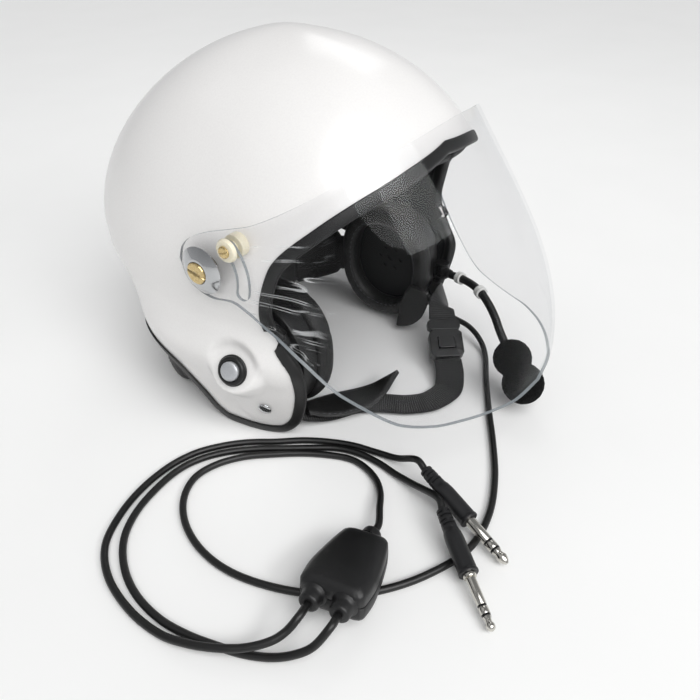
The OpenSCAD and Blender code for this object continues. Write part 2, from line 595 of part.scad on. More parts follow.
left_route = [[buckle_at + 19.6 * buckle_dir, buckle_side, 1], [[53.5, -63.5, 34], [-0.7, 0.6, 0.2], 1],
    [[61, -60, 35], [-0.4, 0.4, 0.8], 1], [[73, -56, 32], [-0.2, 0.3, 1], 0.95], [[82, -48.5, 27.5], [0, 0.2, 1], 0.75],
    [[84.2, -42.6, 26.6], [0.2, 0.1, 1], 0.6], [[87.8, -36.9, 26.6], [0.3, 0, 1], 0.56], [[92.6, -30.6, 25.4], [0.35, 0, 1], 0.62],
    [[95.5, -24, 25.6], [0.35, 0, 1], 0.7], [[96.8, -14, 26], [0.35, 0, 1], 0.75]];
module right_strap() { color([0.05, 0.05, 0.05]) band(right_route, web_w, web_t); }
module left_strap() { color([0.05, 0.05, 0.05]) band(left_route, web_w, web_t); }
// Padded leaf-shaped tabs that keep the webbing off the neck
module right_strap_tab() {
    color([0.06, 0.06, 0.06]) band([[[-76, -33, 10.8], [0.35, 0.93, 0], 0.7], [[-66, -39.5, 8.4], [0.45, 0.89, 0], 1.1],
        [[-55, -47, 7.2], [0.55, 0.83, 0], 1.25], [[-42, -56, 7.6], [0.55, 0.83, 0], 1.15],
        [[-31, -61, 10], [0.5, 0.85, 0], 0.8], [[-20, -64, 13.5], [0.5, 0.85, 0], 0.4], [[-13, -66, 16], [0.5, 0.85, 0], 0.12]],
        web_w, 5);
}
module left_strap_tab() {
    color([0.06, 0.06, 0.06]) band([[[54.6, -42, 42], [0, 1, 0], 0.7], [[54.8, -41, 33], [0, 1, 0.1], 1.05],
        [[54.4, -38, 23], [0, 1, 0.2], 1.05], [[53.5, -34, 14], [0, 1, 0.3], 0.8],
        [[52, -30, 8], [0, 1, 0.3], 0.4], [[51, -28, 5.5], [0, 1, 0.3], 0.12]], web_w, 4);
}

// Quick-release buckle
buckle_w = 24;
buckle_l = 22;
buckle_h = 9;
press_l = 9;
press_w = 12;
press_travel = 1.5;
module at_buckle() { translate(buckle_at) rotate(buckle_turn) children(); }
module rounded_block(l, w, h, r) {
    linear_extrude(height = h) offset(r = r) square([l - 2 * r, w - 2 * r], center = true);
}
module block(l, w, h, cut) {
    linear_extrude(height = h) polygon([[-l / 2 + cut, -w / 2], [l / 2 - cut, -w / 2], [l / 2, -w / 2 + cut],
        [l / 2, w / 2 - cut], [l / 2 - cut, w / 2], [-l / 2 + cut, w / 2], [-l / 2, w / 2 - cut], [-l / 2, -w / 2 + cut]]);
}
module buckle_housing() {
    color([0.05, 0.05, 0.05]) at_buckle() difference() {
        translate([-2, 0, -buckle_h / 2]) block(buckle_l, buckle_w, buckle_h, 3);
        // Throat for the tongue
        translate([-8, -9, -1.6]) cube([20, 18, 3.2]);
        // Well of the release button
        translate([-2 - press_l / 2 - 0.3, -press_w / 2 - 0.3, 0]) cube([press_l + 0.6, press_w + 0.6, buckle_h]);
    }
}
module buckle_tongue() {
    color([0.07, 0.07, 0.07]) at_buckle() {
        translate([-7.4, -8.4, -1.2]) cube([17.4, 16.8, 1.6]);
        translate([14, 0, -3]) block(8.4, buckle_w, 6, 2);
    }
}
module buckle_button() {
    color([0.08, 0.08, 0.08]) at_buckle()
        translate([-2, 0, 0.75 + press_travel]) block(press_l, press_w, buckle_h / 2 - 0.75, 1);
}

// Microphone boom: bracket on the left cup, knuckle on its pin, flexible stem
hub = [84.4, -47.5, 46];
pin_r = 2;
knuckle_r = 4.4;
knuckle_h = 8;
module boom_bracket() {
    plate = 1.8;
    color([0.06, 0.06, 0.06]) {
        for (z = [hub.z - knuckle_h / 2 - 0.4 - plate, hub.z + knuckle_h / 2 + 0.4]) translate([hub.x, 0, z]) {
            translate([0, hub.y, 0]) cylinder(r = knuckle_r, h = plate);
            translate([-knuckle_r, hub.y, 0]) cube([2 * knuckle_r, cup_y - cup_a - hub.y - 0.3, plate]);
        }
        translate([hub.x, hub.y, hub.z - knuckle_h / 2 - 1]) cylinder(r = pin_r, h = knuckle_h + 2);
        translate([hub.x - knuckle_r, cup_y - cup_a - 1.7, hub.z - knuckle_h / 2 - 0.4])
            cube([2 * knuckle_r, 1.4, knuckle_h + 0.8]);
    }
}
module boom_knuckle() {
    color([0.08, 0.08, 0.08]) difference() {
        union() {
            translate(hub - [0, 0, knuckle_h / 2]) cylinder(r = knuckle_r - 0.2, h = knuckle_h);
            translate(hub) rotate([90, 0, -24]) cylinder(r = boom_r + 0.4, h = 9);
        }
        translate(hub - [0, 0, knuckle_h]) cylinder(r = pin_r + 0.05, h = 2 * knuckle_h);
    }
}
function spin(v, a) = [v.x * cos(a) - v.y * sin(a), v.x * sin(a) + v.y * cos(a), v.z];
stem_route = [hub + spin([0, -9.9, 0], -24), [76.8, -66, 48], [70.4, -78, 50], [63, -89, 50.5], [54, -100, 48.5], [46, -109, 45],
    [39, -116.5, 40], [30.7, -126, 34.9]];
// A round tube along a route, with rings square to it
module tube(route, r, sides, up = [0, 0, 1]) {
    n = len(route);
    rings = [for (i = [0:n - 1]) let(
            d = unit(route[min(i + 1, n - 1)] - route[max(i - 1, 0)]), u = unit(cross(d, up)), v = cross(u, d))
        [for (k = [0:sides - 1]) let(a = 360 * k / sides) route[i] + r * (cos(a) * u + sin(a) * v)]];
    skin_ends([for (i = [n - 1:-1:0]) rings[i]]);
}
module boom_stem() { color([0.07, 0.07, 0.07]) tube(stem_route, boom_r, 10); }
// Two clear clips round the stem
module boom_rings() {
    color([0.9, 0.9, 0.9, 0.6]) for (i = [1, 3]) {
        d = unit(stem_route[i + 1] - stem_route[i - 1]);
        translate(stem_route[i]) rotate([0, acos(d.z), atan2(d.y, d.x)]) difference() {
            cylinder(r = boom_r + 1.6, h = 5, center = true);
            cylinder(r = boom_r + 0.5, h = 7, center = true);
        }
    }
}
muff_1 = [25, -133, 32];
muff_2 = [16, -146, 22];
muff_axis = unit(muff_2 - muff_1);
stem_end = stem_route[len(stem_route) - 1];
capsule_turn = [0, acos(muff_axis.z), atan2(muff_axis.y, muff_axis.x)];
module mic_capsule() {
    color([0.2, 0.2, 0.2]) translate(muff_1) rotate(capsule_turn) translate([0, 0, -1]) cylinder(r = 5, h = 13);
}
module mic_muff() {
    to_stem = muff_1 - stem_end;
    color([0.04, 0.04, 0.04]) difference() {
        union() {
            translate(muff_1) sphere(r = muff_r1);
            translate(muff_2) sphere(r = muff_r2);
        }
        translate(muff_1) rotate(capsule_turn) translate([0, 0, -1.3]) cylinder(r = 5.3, h = 13.6);
        translate(muff_1) rotate([0, acos(-to_stem.z / norm(to_stem)), atan2(-to_stem.y, -to_stem.x)])
            translate([0, 0, 8.9]) cylinder(r = boom_r + 0.5, h = 12);
    }
}

// Cord clamp where the main cord leaves the left ear cup
relief_at = [79, -35.7, 23.4];
relief_dir = unit([-1, -10, -5.5]);
relief_len = 13;
module along(at, dir) { translate(at) rotate([0, acos(dir.z), atan2(dir.y, dir.x)]) children(); }
module cord_relief() {
    color([0.05, 0.05, 0.05]) along(relief_at, relief_dir) {
        cylinder(r = 4.6, h = 1.5);
        translate([0, 0, 1]) cylinder(r1 = 4, r2 = 2.9, h = relief_len - 1);
    }
}

// Places on the turned box and plugs
function turned(v, a) = let(
        p = [v.x, v.y * cos(a.x) - v.z * sin(a.x), v.y * sin(a.x) + v.z * cos(a.x)],
        q = [p.x * cos(a.y) + p.z * sin(a.y), p.y, p.z * cos(a.y) - p.x * sin(a.y)])
    [q.x * cos(a.z) - q.y * sin(a.z), q.x * sin(a.z) + q.y * cos(a.z), q.z];
box_at = [-168, -129.9, 4.1];
box_turn = [-4.5, 9.5, 8.6];
function on_box(p) = box_at + turned(p, box_turn);
function box_way(d) = turned(d, box_turn);
gland_y = 8.2;
gland_len = 7;
seam = 10;
grip_len = 40;
phone_plug_at = [-85, -128, 15.6];
phone_plug_turn = [0, 99.0, 248.2];
mic_plug_at = [-105, -150, 13.6];
mic_plug_turn = [0, 98, 228.9];
function plug_way(turn) = turned([0, 0, 1], turn);
main_in = on_box([box_len / 2 + gland_len + 0.1, 0, seam]);
phone_out = on_box([-box_len / 2 - gland_len - 0.1, gland_y, seam]);
mic_out = on_box([-box_len / 2 - gland_len - 0.1, -gland_y, seam]);

// Routes of the cords, chosen by hand, from one end to the other
cord_low = cord_d / 2 + 0.1;
main_start = relief_at + (relief_len + 0.05) * relief_dir;
main_route = [main_start, main_start + 6 * relief_dir, [76, -64, 12], [73.5, -79, 10.5], [67, -92, 6.6], [56, -102, 2.6],
    [30, -115, 2.2], [2, -130, 2.2], [-28, -147, 2.2], [-56, -161, 2.2], [-84, -170, 2.2], [-112, -171, 2.2],
    [-138, -161, 2.2], [-160, -146, 2.2], [-176, -128, 2.2], [-189, -103, 2.2], [-196, -76, 2.2], [-195, -52, 2.2],
    [-187, -31, 2.2], [-174, -16, 2.2], [-158, -9, 2.2], [-142, -12, 2.2], [-127, -22, 2.2], [-114, -37, 2.2],
    [-103, -52, 2.2], [-95, -67, 2.2], [-91, -79, 2.2], [-92, -90, 2.3], [-97, -101, 2.8], [-106, -110, 4.2], [-118, -117, 6.8],
    main_in + 8 * box_way([1, 0, 0]), main_in];
phone_lead_route = [phone_out, phone_out - 8 * box_way([1, 0, 0]), [-213, -124, 14.5], [-220, -119.5, 11.5], [-228, -110.5, 9], [-234.5, -99.5, 7.6], [-240, -85, 5.4], [-243, -68, 2.6], [-242, -46, 2.2],
    [-235, -22, 2.2], [-222, -4, 2.2], [-203, 6, 2.2], [-182, 11, 2.2], [-160, 11, 2.2], [-142, 6, 2.2],
    [-127, -4, 2.2], [-115, -16, 2.2], [-105, -30, 2.2], [-94, -44, 2.2], [-86, -58, 2.2], [-80, -73, 2.2],
    [-77, -89, 2.4], [-77, -104, 5.5],
    phone_plug_at - 9 * plug_way(phone_plug_turn), phone_plug_at - 0.1 * plug_way(phone_plug_turn)];
mic_lead_route = [mic_out, mic_out - 8 * box_way([1, 0, 0]), [-211, -138.5, 12.5], [-217.5, -131.5, 8], [-222.5, -122, 4], [-227.5, -110, 2.3], [-231.5, -97, 2.2], [-235.5, -80, 2.2], [-237, -62, 2.2],
    [-234, -42, 2.2], [-226, -24, 2.2], [-213, -9, 2.2], [-196, 0, 2.2], [-176, 4, 2.2], [-158, 4, 2.2],
    [-143, -1, 2.2], [-129, -11, 2.2], [-117, -24, 2.2], [-107, -38, 2.2], [-97, -52, 2.2], [-88, -66, 2.2], [-84, -80, 2.2],
    [-84, -95, 2.2], [-87, -109, 3], [-91, -123, 6.4],
    mic_plug_at - 9 * plug_way(mic_plug_turn), mic_plug_at - 0.1 * plug_way(mic_plug_turn)];
module main_cord() { color([0.04, 0.04, 0.04]) tube(main_route, cord_d / 2, 8); }
module phone_lead() { color([0.04, 0.04, 0.04]) tube(phone_lead_route, cord_d / 2, 8); }
module mic_lead() { color([0.04, 0.04, 0.04]) tube(mic_lead_route, cord_d / 2, 8); }

// Junction box: it leans on the main cord at one corner and on the table at the other
module at_box() { translate(box_at) rotate(box_turn) children(); }
function box_edge(inset) =
    let(ends = [-1, -0.96, -0.85, -0.45, 0, 0.5, 0.85, 0.96, 1], round_off = [4.5, 1.8, 0.3, 0, 0, 0, 0.3, 1.8, 4.5],
        half = [for (i = [0:8]) let(x = ends[i])
            through([-1, -0.45, 0.1, 1], [box_w2 / 2 - 0.6, box_w2 / 2, box_w2 / 2 - 1.5, box_w1 / 2], x) - round_off[i] - inset])
    concat([for (i = [0:8]) [ends[i] * (box_len / 2 - inset), -half[i]]],
        [for (i = [8:-1:0]) [ends[i] * (box_len / 2 - inset), half[i]]]);
module box_shape(levels, insets) {
    skin_ends([for (i = [len(levels) - 1:-1:0]) [for (p = box_edge(insets[i])) [p.x, p.y, levels[i]]]]);
}
gland_spots = [[box_len / 2, 0, 1], [-box_len / 2, gland_y, -1], [-box_len / 2, -gland_y, -1]];
module gland_holes() {
    for (g = gland_spots) translate([g.x - 4, g.y, seam]) rotate([0, 90, 0]) cylinder(r = 3.2, h = 8);
}
module box_base() {
    color([0.05, 0.05, 0.05]) at_box() difference() {
        box_shape([0, 1.2, 3.5, seam - 0.4], [3, 1, 0.2, 0]);
        translate([0, 0, box_wall]) linear_extrude(height = seam) polygon(box_edge(box_wall + 0.6));
        gland_holes();
    }
}
module box_lid() {
    color([0.05, 0.05, 0.05]) at_box() difference() {
        box_shape([seam, box_h - 3.5, box_h - 1.2, box_h], [0, 0.2, 1, 3]);
        translate([0, 0, seam - 1]) linear_extrude(height = box_h - box_wall - seam + 1) polygon(box_edge(box_wall + 0.6));
        gland_holes();
    }
}
module box_board() {
    color([0.1, 0.35, 0.2]) at_box() {
        translate([-15, -10, 5]) cube([30, 20, 1.6]);
        for (x = [-12, 5]) translate([x, -7, 6.6]) cube([7, 14, 5]);
        for (x = [-11, 9]) for (y = [-6, 6]) translate([x, y, box_wall + 0.05]) cylinder(r = 1.6, h = 3);
    }
}
module box_glands() {
    color([0.06, 0.06, 0.06]) at_box() for (g = gland_spots) translate([g.x, g.y, seam]) rotate([0, 90 * g.z, 0]) {
        translate([0, 0, -3]) cylinder(r = 3, h = 3.2);
        translate([0, 0, 0.2]) cylinder(r = 5.6, h = 1.4);
        translate([0, 0, 1.5]) cylinder(r1 = 5.4, r2 = 4.7, h = gland_len - 1.5);
    }
}

// Plugs: local Z runs from the cord's end to the tip
plug_root = 0.4;
band_in = 0.2;
collar_h = 2;
module at_plug(at, turn) { translate(at) rotate(turn) children(); }
// Ribbed boot, waist and flanged grip
module plug_grip(r) {
    difference() {
        union() {
            cylinder(r1 = 2.9, r2 = 3.6, h = 13);
            for (z = [1.5:2.6:12]) translate([0, 0, z]) cylinder(r1 = 3.6 + z / 20, r2 = 3.8 + z / 20, h = 1.3);
            translate([0, 0, 13]) cylinder(r1 = 3.6, r2 = grip_r - 0.5, h = 2.5);
            translate([0, 0, 15.5]) cylinder(r1 = grip_r - 0.5, r2 = grip_r, h = 5);
            translate([0, 0, 20.5]) cylinder(r = grip_r, h = grip_len - 22);
            translate([0, 0, grip_len - 1.5]) cylinder(r = grip_r + 0.3, h = 1.5);
        }
        translate([0, 0, grip_len - 8]) cylinder(r = r - plug_root + 0.05, h = 9);
    }
}
module plug_sleeve(r, start, end) {
    difference() {
        union() {
            translate([0, 0, grip_len - 7.9]) cylinder(r = r - plug_root, h = start + 8.9);
            translate([0, 0, grip_len + start]) cylinder(r = r, h = end - start);
        }
        translate([0, 0, grip_len - 9]) cylinder(r = 1.7, h = end + 10);
    }
}
// Bands between the contacts on a thin inner tube
module plug_insulators(r, b1, b2, w) {
    difference() {
        union() {
            translate([0, 0, grip_len - 7.9]) cylinder(r = 1.65, h = 7.9 + b2 + w);
            for (b = [b1, b2]) translate([0, 0, grip_len + b + 0.05]) cylinder(r = r - band_in, h = w - 0.1);
        }
        translate([0, 0, grip_len - 9]) cylinder(r = 1.2, h = b2 + 12);
    }
}
module plug_contacts(r, b1, b2, w, tip) {
    difference() {
        translate([0, 0, grip_len + b1 + w]) cylinder(r = r, h = b2 - b1 - w);
        translate([0, 0, grip_len + b1]) cylinder(r = 1.7, h = b2);
    }
    translate([0, 0, grip_len]) rotate_extrude()
        polygon(concat([[0, -7.9], [1.15, -7.9], [1.15, b2 + w + 0.05]], tip, [[0, plug_len]]));
}
phone_bands = [15.2, 20.6, 1.2];
mic_bands = [17.4, 22.4, 1.2];
module phone_plug_grip() { color([0.05, 0.05, 0.05]) at_plug(phone_plug_at, phone_plug_turn) plug_grip(phone_plug_r); }
module phone_plug_sleeve() { color([0.8, 0.8, 0.8]) at_plug(phone_plug_at, phone_plug_turn) plug_sleeve(phone_plug_r, 0.3, phone_bands[0]); }
module phone_plug_insulators() {
    color([0.05, 0.05, 0.05]) at_plug(phone_plug_at, phone_plug_turn)
        plug_insulators(phone_plug_r, phone_bands[0], phone_bands[1], phone_bands[2]);
}
module phone_plug_contacts() {
    color([0.8, 0.8, 0.8]) at_plug(phone_plug_at, phone_plug_turn)
        plug_contacts(phone_plug_r, phone_bands[0], phone_bands[1], phone_bands[2],
            [[3, 21.85], [2.2, 23.8], [2.3, 24.6], [3, 26.4], [2.7, 27.6], [0.9, plug_len - 0.3]]);
}
module mic_plug_grip() { color([0.05, 0.05, 0.05]) at_plug(mic_plug_at, mic_plug_turn) plug_grip(mic_plug_r); }
module mic_plug_sleeve() {
    color([0.8, 0.8, 0.8]) at_plug(mic_plug_at, mic_plug_turn) {
        plug_sleeve(mic_plug_r, collar_h + 0.4, mic_bands[0]);
        // Collar against the grip
        translate([0, 0, grip_len + 0.1]) difference() {
            cylinder(r = mic_plug_r + 1, h = collar_h);
            translate([0, 0, -1]) cylinder(r = mic_plug_r - plug_root - 0.2, h = collar_h + 2);
        }
    }
}
module mic_plug_insulators() {
    color([0.05, 0.05, 0.05]) at_plug(mic_plug_at, mic_plug_turn)
        plug_insulators(mic_plug_r, mic_bands[0], mic_bands[1], mic_bands[2]);
}
module mic_plug_contacts() {
    color([0.8, 0.8, 0.8]) at_plug(mic_plug_at, mic_plug_turn)
        plug_contacts(mic_plug_r, mic_bands[0], mic_bands[1], mic_bands[2],
            [[2.4, 23.65], [1.7, 25.4], [1.75, 26.6], [2.35, 27.8], [2.4, 28.8], [1.9, 30.2], [0.9, 30.9]]);
}

outer_shell();
edge_bead();
impact_liner();
crown_lining();
brow_pad();
neck_roll();
right_ear_cup();
left_ear_cup();
right_ear_seal();
left_ear_seal();
right_speaker();
left_speaker();
visor();
pivot_spacers();
pivot_washers();
pivot_screws();
pivot_nuts();
stop_spacers();
stop_washers();
stop_screws();
button_ring();
button_cap();
button_switch();
strap_rivets();
right_strap();
left_strap();
right_strap_tab();
left_strap_tab();
buckle_housing();
buckle_tongue();
buckle_button();
boom_bracket();
boom_knuckle();
boom_stem();
boom_rings();
mic_capsule();
mic_muff();
cord_relief();
main_cord();
box_base();
box_lid();
box_board();
box_glands();
phone_lead();
mic_lead();
phone_plug_grip();
phone_plug_sleeve();
phone_plug_insulators();
phone_plug_contacts();
mic_plug_grip();
mic_plug_sleeve();
mic_plug_insulators();
mic_plug_contacts();
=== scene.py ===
"""Open-face flying helmet with a swing-up visor, boom microphone, push button and intercom cords.

Lengths are millimetres, as on the drawing, and become metres where a mesh is made.
X runs to the wearer's left, -Y is forward and Z is up from the table.
"""
from math import cos, pi, radians, sin
import bpy
import numpy as np
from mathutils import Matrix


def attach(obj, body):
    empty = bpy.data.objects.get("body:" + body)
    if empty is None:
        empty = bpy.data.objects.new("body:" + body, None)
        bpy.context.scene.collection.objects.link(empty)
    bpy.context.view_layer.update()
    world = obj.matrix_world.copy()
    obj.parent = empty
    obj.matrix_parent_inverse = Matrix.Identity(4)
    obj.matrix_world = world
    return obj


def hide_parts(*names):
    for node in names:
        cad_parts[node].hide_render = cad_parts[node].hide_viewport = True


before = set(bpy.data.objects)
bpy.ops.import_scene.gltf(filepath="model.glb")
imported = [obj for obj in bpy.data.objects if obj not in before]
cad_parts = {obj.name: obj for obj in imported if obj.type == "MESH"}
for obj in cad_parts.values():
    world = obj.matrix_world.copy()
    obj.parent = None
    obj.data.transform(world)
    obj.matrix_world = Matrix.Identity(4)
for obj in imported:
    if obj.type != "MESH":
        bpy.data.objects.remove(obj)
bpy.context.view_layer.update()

# Table and studio: a pale laminate table under a broad window light and three soft boxes, one of them
# high in front, where the visor mirrors it. The camera stands where the photograph was taken.
camera = bpy.data.objects.new("camera", bpy.data.cameras.new("camera"))
camera.data.lens = 36
camera.data.sensor_width = 36
camera.location = (-0.3527, -0.2548, 0.316)
camera.rotation_euler = (radians(54), 0, radians(-56))
bpy.context.scene.collection.objects.link(camera)
bpy.context.scene.camera = camera


def paint(hex_code):
    """An sRGB colour such as c8a05a as linear red, green, blue and alpha."""
    parts = [int(hex_code[k:k + 2], 16) / 255 for k in (0, 2, 4)]
    return tuple(v / 12.92 if v <= 0.04045 else ((v + 0.055) / 1.055) ** 2.4 for v in parts) + (1.0,)


def feed(tree, node, inputs):
    """Sets a node's inputs: each is a value, or another node's output, which is linked."""
    for key, value in inputs.items():
        if isinstance(value, bpy.types.NodeSocket):
            tree.links.new(value, node.inputs[key])
        else:
            node.inputs[key].default_value = value


def add(tree, kind, inputs=None, **settings):
    """Adds a node of that kind with its settings and its inputs."""
    made = tree.nodes.new(kind)
    for key, value in settings.items():
        setattr(made, key, value)
    feed(tree, made, inputs or {})
    return made


def begin(name):
    """A new material: the material, its tree, its Principled shader wired to the output, and the place."""
    made = bpy.data.materials.new(name)
    made.use_nodes = True
    tree = made.node_tree
    tree.nodes.clear()
    shader = add(tree, "ShaderNodeBsdfPrincipled")
    add(tree, "ShaderNodeOutputMaterial", {"Surface": shader.outputs[0]})
    return made, tree, shader, add(tree, "ShaderNodeTexCoord").outputs["Object"]


# Matt laminate: nearly white, with a faint unevenness a few centimetres wide.
laminate, tree, shader, place = begin("matt_laminate")
cloud = add(tree, "ShaderNodeTexNoise", {"Vector": place, "Scale": 9.0, "Detail": 2.0})
tone = add(tree, "ShaderNodeMix", {0: cloud.outputs[0], 6: paint("fafaf9"), 7: paint("f6f6f5")},
           data_type="RGBA")
feed(tree, shader, {"Base Color": tone.outputs[2], "Roughness": 0.6})
table_mesh = bpy.data.meshes.new("table")
table_mesh.from_pydata([(-7, -7, 0), (7, -7, 0), (7, 7, 0), (-7, 7, 0)], [], [(0, 1, 2, 3)])
table_mesh.materials.append(laminate)
table = bpy.data.objects.new("table", table_mesh)
bpy.context.scene.collection.objects.link(table)

studio = bpy.data.worlds.new("studio")
bpy.context.scene.world = studio
studio.use_nodes = True
# The room is paler near the horizon than overhead, so that polished metal has something to mirror
heading = add(studio.node_tree, "ShaderNodeTexCoord").outputs["Generated"]
height = add(studio.node_tree, "ShaderNodeSeparateXYZ", {"Vector": heading})
fade = add(studio.node_tree, "ShaderNodeMapRange",
           {"Value": height.outputs[2], "From Min": 0.05, "From Max": 0.8, "To Min": 0.5, "To Max": 0.24})
feed(studio.node_tree, studio.node_tree.nodes["Background"],
     {"Color": paint("f7f8fa"), "Strength": fade.outputs[0]})
sun = bpy.data.objects.new("window_light", bpy.data.lights.new("window_light", "SUN"))
sun.data.energy, sun.data.angle = 2.15, radians(50)
sun.rotation_euler = (radians(32), radians(-22), 0)
bpy.context.scene.collection.objects.link(sun)
bpy.context.scene.view_settings.view_transform = "Standard"
for label, spot, aim, wide, tall, power in (
        ("soft_box_front", (-0.14, -1.0, 0.72), (-0.05, -0.09, 0.16), 0.62, 0.2, 2.9),
        ("soft_box_back", (0.62, 0.25, 0.86), (0.0, 0.0, 0.1), 0.5, 0.4, 0.9),
        ("soft_box_top", (-0.35, 0.45, 1.1), (0.0, 0.0, 0.1), 0.9, 0.7, 0.7)):
    lamp = bpy.data.lights.new(label, "AREA")
    lamp.shape = "RECTANGLE"
    lamp.size, lamp.size_y, lamp.energy = wide, tall, power
    box = bpy.data.objects.new(label, lamp)
    box.location = spot
    way = np.array(aim) - np.array(spot)
    box.rotation_euler = (np.arctan2(np.hypot(way[0], way[1]), -way[2]), 0, np.arctan2(-way[0], way[1]))
    bpy.context.scene.collection.objects.link(box)

# Cords: three round leads of flexible PVC sheath on stranded copper, 4.2 across, lying loose on the
# table. The main cord leaves the clamp on the left cup; two leads leave the box for the two plugs.
cord_sheath, tree, shader, place = begin("soft_pvc_sheath")
# Soft PVC: near black with a broad soft highlight, dusty in patches, slightly uneven over the strands.
dust = add(tree, "ShaderNodeTexNoise", {"Vector": place, "Scale": 60.0, "Detail": 4.0, "Roughness": 0.6})
tone = add(tree, "ShaderNodeMix", {0: dust.outputs[0], 6: paint("070707"), 7: paint("131313")},
           data_type="RGBA")
matt = add(tree, "ShaderNodeMapRange", {"Value": dust.outputs[0], "To Min": 0.3, "To Max": 0.5})
strand = add(tree, "ShaderNodeTexNoise", {"Vector": place, "Scale": 420.0, "Detail": 2.0})
rough = add(tree, "ShaderNodeBump", {"Height": strand.outputs[0], "Strength": 0.35, "Distance": 0.0003})
feed(tree, shader, {"Base Color": tone.outputs[2], "Roughness": matt.outputs[0], "Normal": rough.outputs[0],
                    "Specular IOR Level": 0.5})
cord_d = 4.2
box_x = np.array([0.9752, 0.1475, -0.165])
box_y = np.array([-0.1619, 0.9838, -0.0774])
box_z = np.array([0.151, 0.1022, 0.9832])
box_at = np.array([-168.0, -129.9, 4.1])
cord_routes = {
    "main_cord": [(77.86, -47.09, 17.13), (77.34, -52.33, 14.25), (76, -64, 12), (73.5, -79, 10.5),
                  (67, -92, 6.6), (56, -102, 2.6), (30, -115, 2.2), (2, -130, 2.2), (-28, -147, 2.2),
                  (-56, -161, 2.2), (-84, -170, 2.2), (-112, -171, 2.2), (-138, -161, 2.2),
                  (-160, -146, 2.2), (-176, -128, 2.2), (-189, -103, 2.2), (-196, -76, 2.2),
                  (-195, -52, 2.2), (-187, -31, 2.2), (-174, -16, 2.2), (-158, -9, 2.2), (-142, -12, 2.2),
                  (-127, -22, 2.2), (-114, -37, 2.2), (-103, -52, 2.2), (-95, -67, 2.2), (-91, -79, 2.2),
                  (-92, -90, 2.3), (-97, -101, 2.8), (-106, -110, 4.2), (-118, -117, 6.8),
                  (-128.85, -123.18, 7.56), (-136.65, -124.37, 8.88)],
    "phone_lead": [(-197.66, -125.32, 18.35), (-205.46, -126.5, 19.67), (-213, -124, 14.5),
                   (-220, -119.5, 11.5), (-228, -110.5, 9), (-234.5, -99.5, 7.6), (-240, -85, 5.4),
                   (-243, -68, 2.6), (-242, -46, 2.2), (-235, -22, 2.2), (-222, -4, 2.2), (-203, 6, 2.2),
                   (-182, 11, 2.2), (-160, 11, 2.2), (-142, 6, 2.2), (-127, -4, 2.2), (-115, -16, 2.2),
                   (-105, -30, 2.2), (-94, -44, 2.2), (-86, -58, 2.2), (-80, -73, 2.2), (-77, -89, 2.4),
                   (-77, -104, 5.5), (-81.7, -119.75, 17.01), (-84.96, -127.91, 15.62)],
    "mic_lead": [(-195, -141.46, 19.62), (-202.81, -142.64, 20.94), (-211, -138.5, 12.5),
                 (-217.5, -131.5, 8), (-222.5, -122, 4), (-227.5, -110, 2.3), (-231.5, -97, 2.2),
                 (-235.5, -80, 2.2), (-237, -62, 2.2), (-234, -42, 2.2), (-226, -24, 2.2),
                 (-213, -9, 2.2), (-196, 0, 2.2), (-176, 4, 2.2), (-158, 4, 2.2), (-143, -1, 2.2),
                 (-129, -11, 2.2), (-117, -24, 2.2), (-107, -38, 2.2), (-97, -52, 2.2), (-88, -66, 2.2),
                 (-84, -80, 2.2), (-84, -95, 2.2), (-87, -109, 3), (-91, -123, 6.4),
                 (-99.14, -143.28, 14.85), (-104.94, -149.93, 13.61)]}


def curve_of(route, fine):
    """Points between the route's own: a cubic with tangents of half the step between neighbours."""
    p = np.asarray(route, float)
    m = np.gradient(p, axis=0)
    t = np.linspace(0, len(p) - 1, (len(p) - 1) * fine + 1)
    i = np.minimum(t.astype(int), len(p) - 2)
    u = (t - i)[:, None]
    return ((2 * u**3 - 3 * u**2 + 1) * p[i] + (u**3 - 2 * u**2 + u) * m[i]
            + (3 * u**2 - 2 * u**3) * p[i + 1] + (u**3 - u**2) * m[i + 1])


for name, route in cord_routes.items():
    p = np.asarray(route, float) * 0.001
    m = np.gradient(p, axis=0)
    line = bpy.data.curves.new("sheathed_" + name, "CURVE")
    line.dimensions = "3D"
    line.bevel_depth = cord_d / 2000
    line.bevel_resolution = 5
    line.resolution_u = 8
    line.use_fill_caps = True
    spline = line.splines.new("BEZIER")
    spline.bezier_points.add(len(p) - 1)
    spline.bezier_points.foreach_set("co", p.ravel())
    spline.bezier_points.foreach_set("handle_left", (p - m / 3).ravel())
    spline.bezier_points.foreach_set("handle_right", (p + m / 3).ravel())
    line.materials.append(cord_sheath)
    cord = bpy.data.objects.new("sheathed_" + name, line)
    bpy.context.scene.collection.objects.link(cord)
    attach(cord, "helmet")
    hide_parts(name)


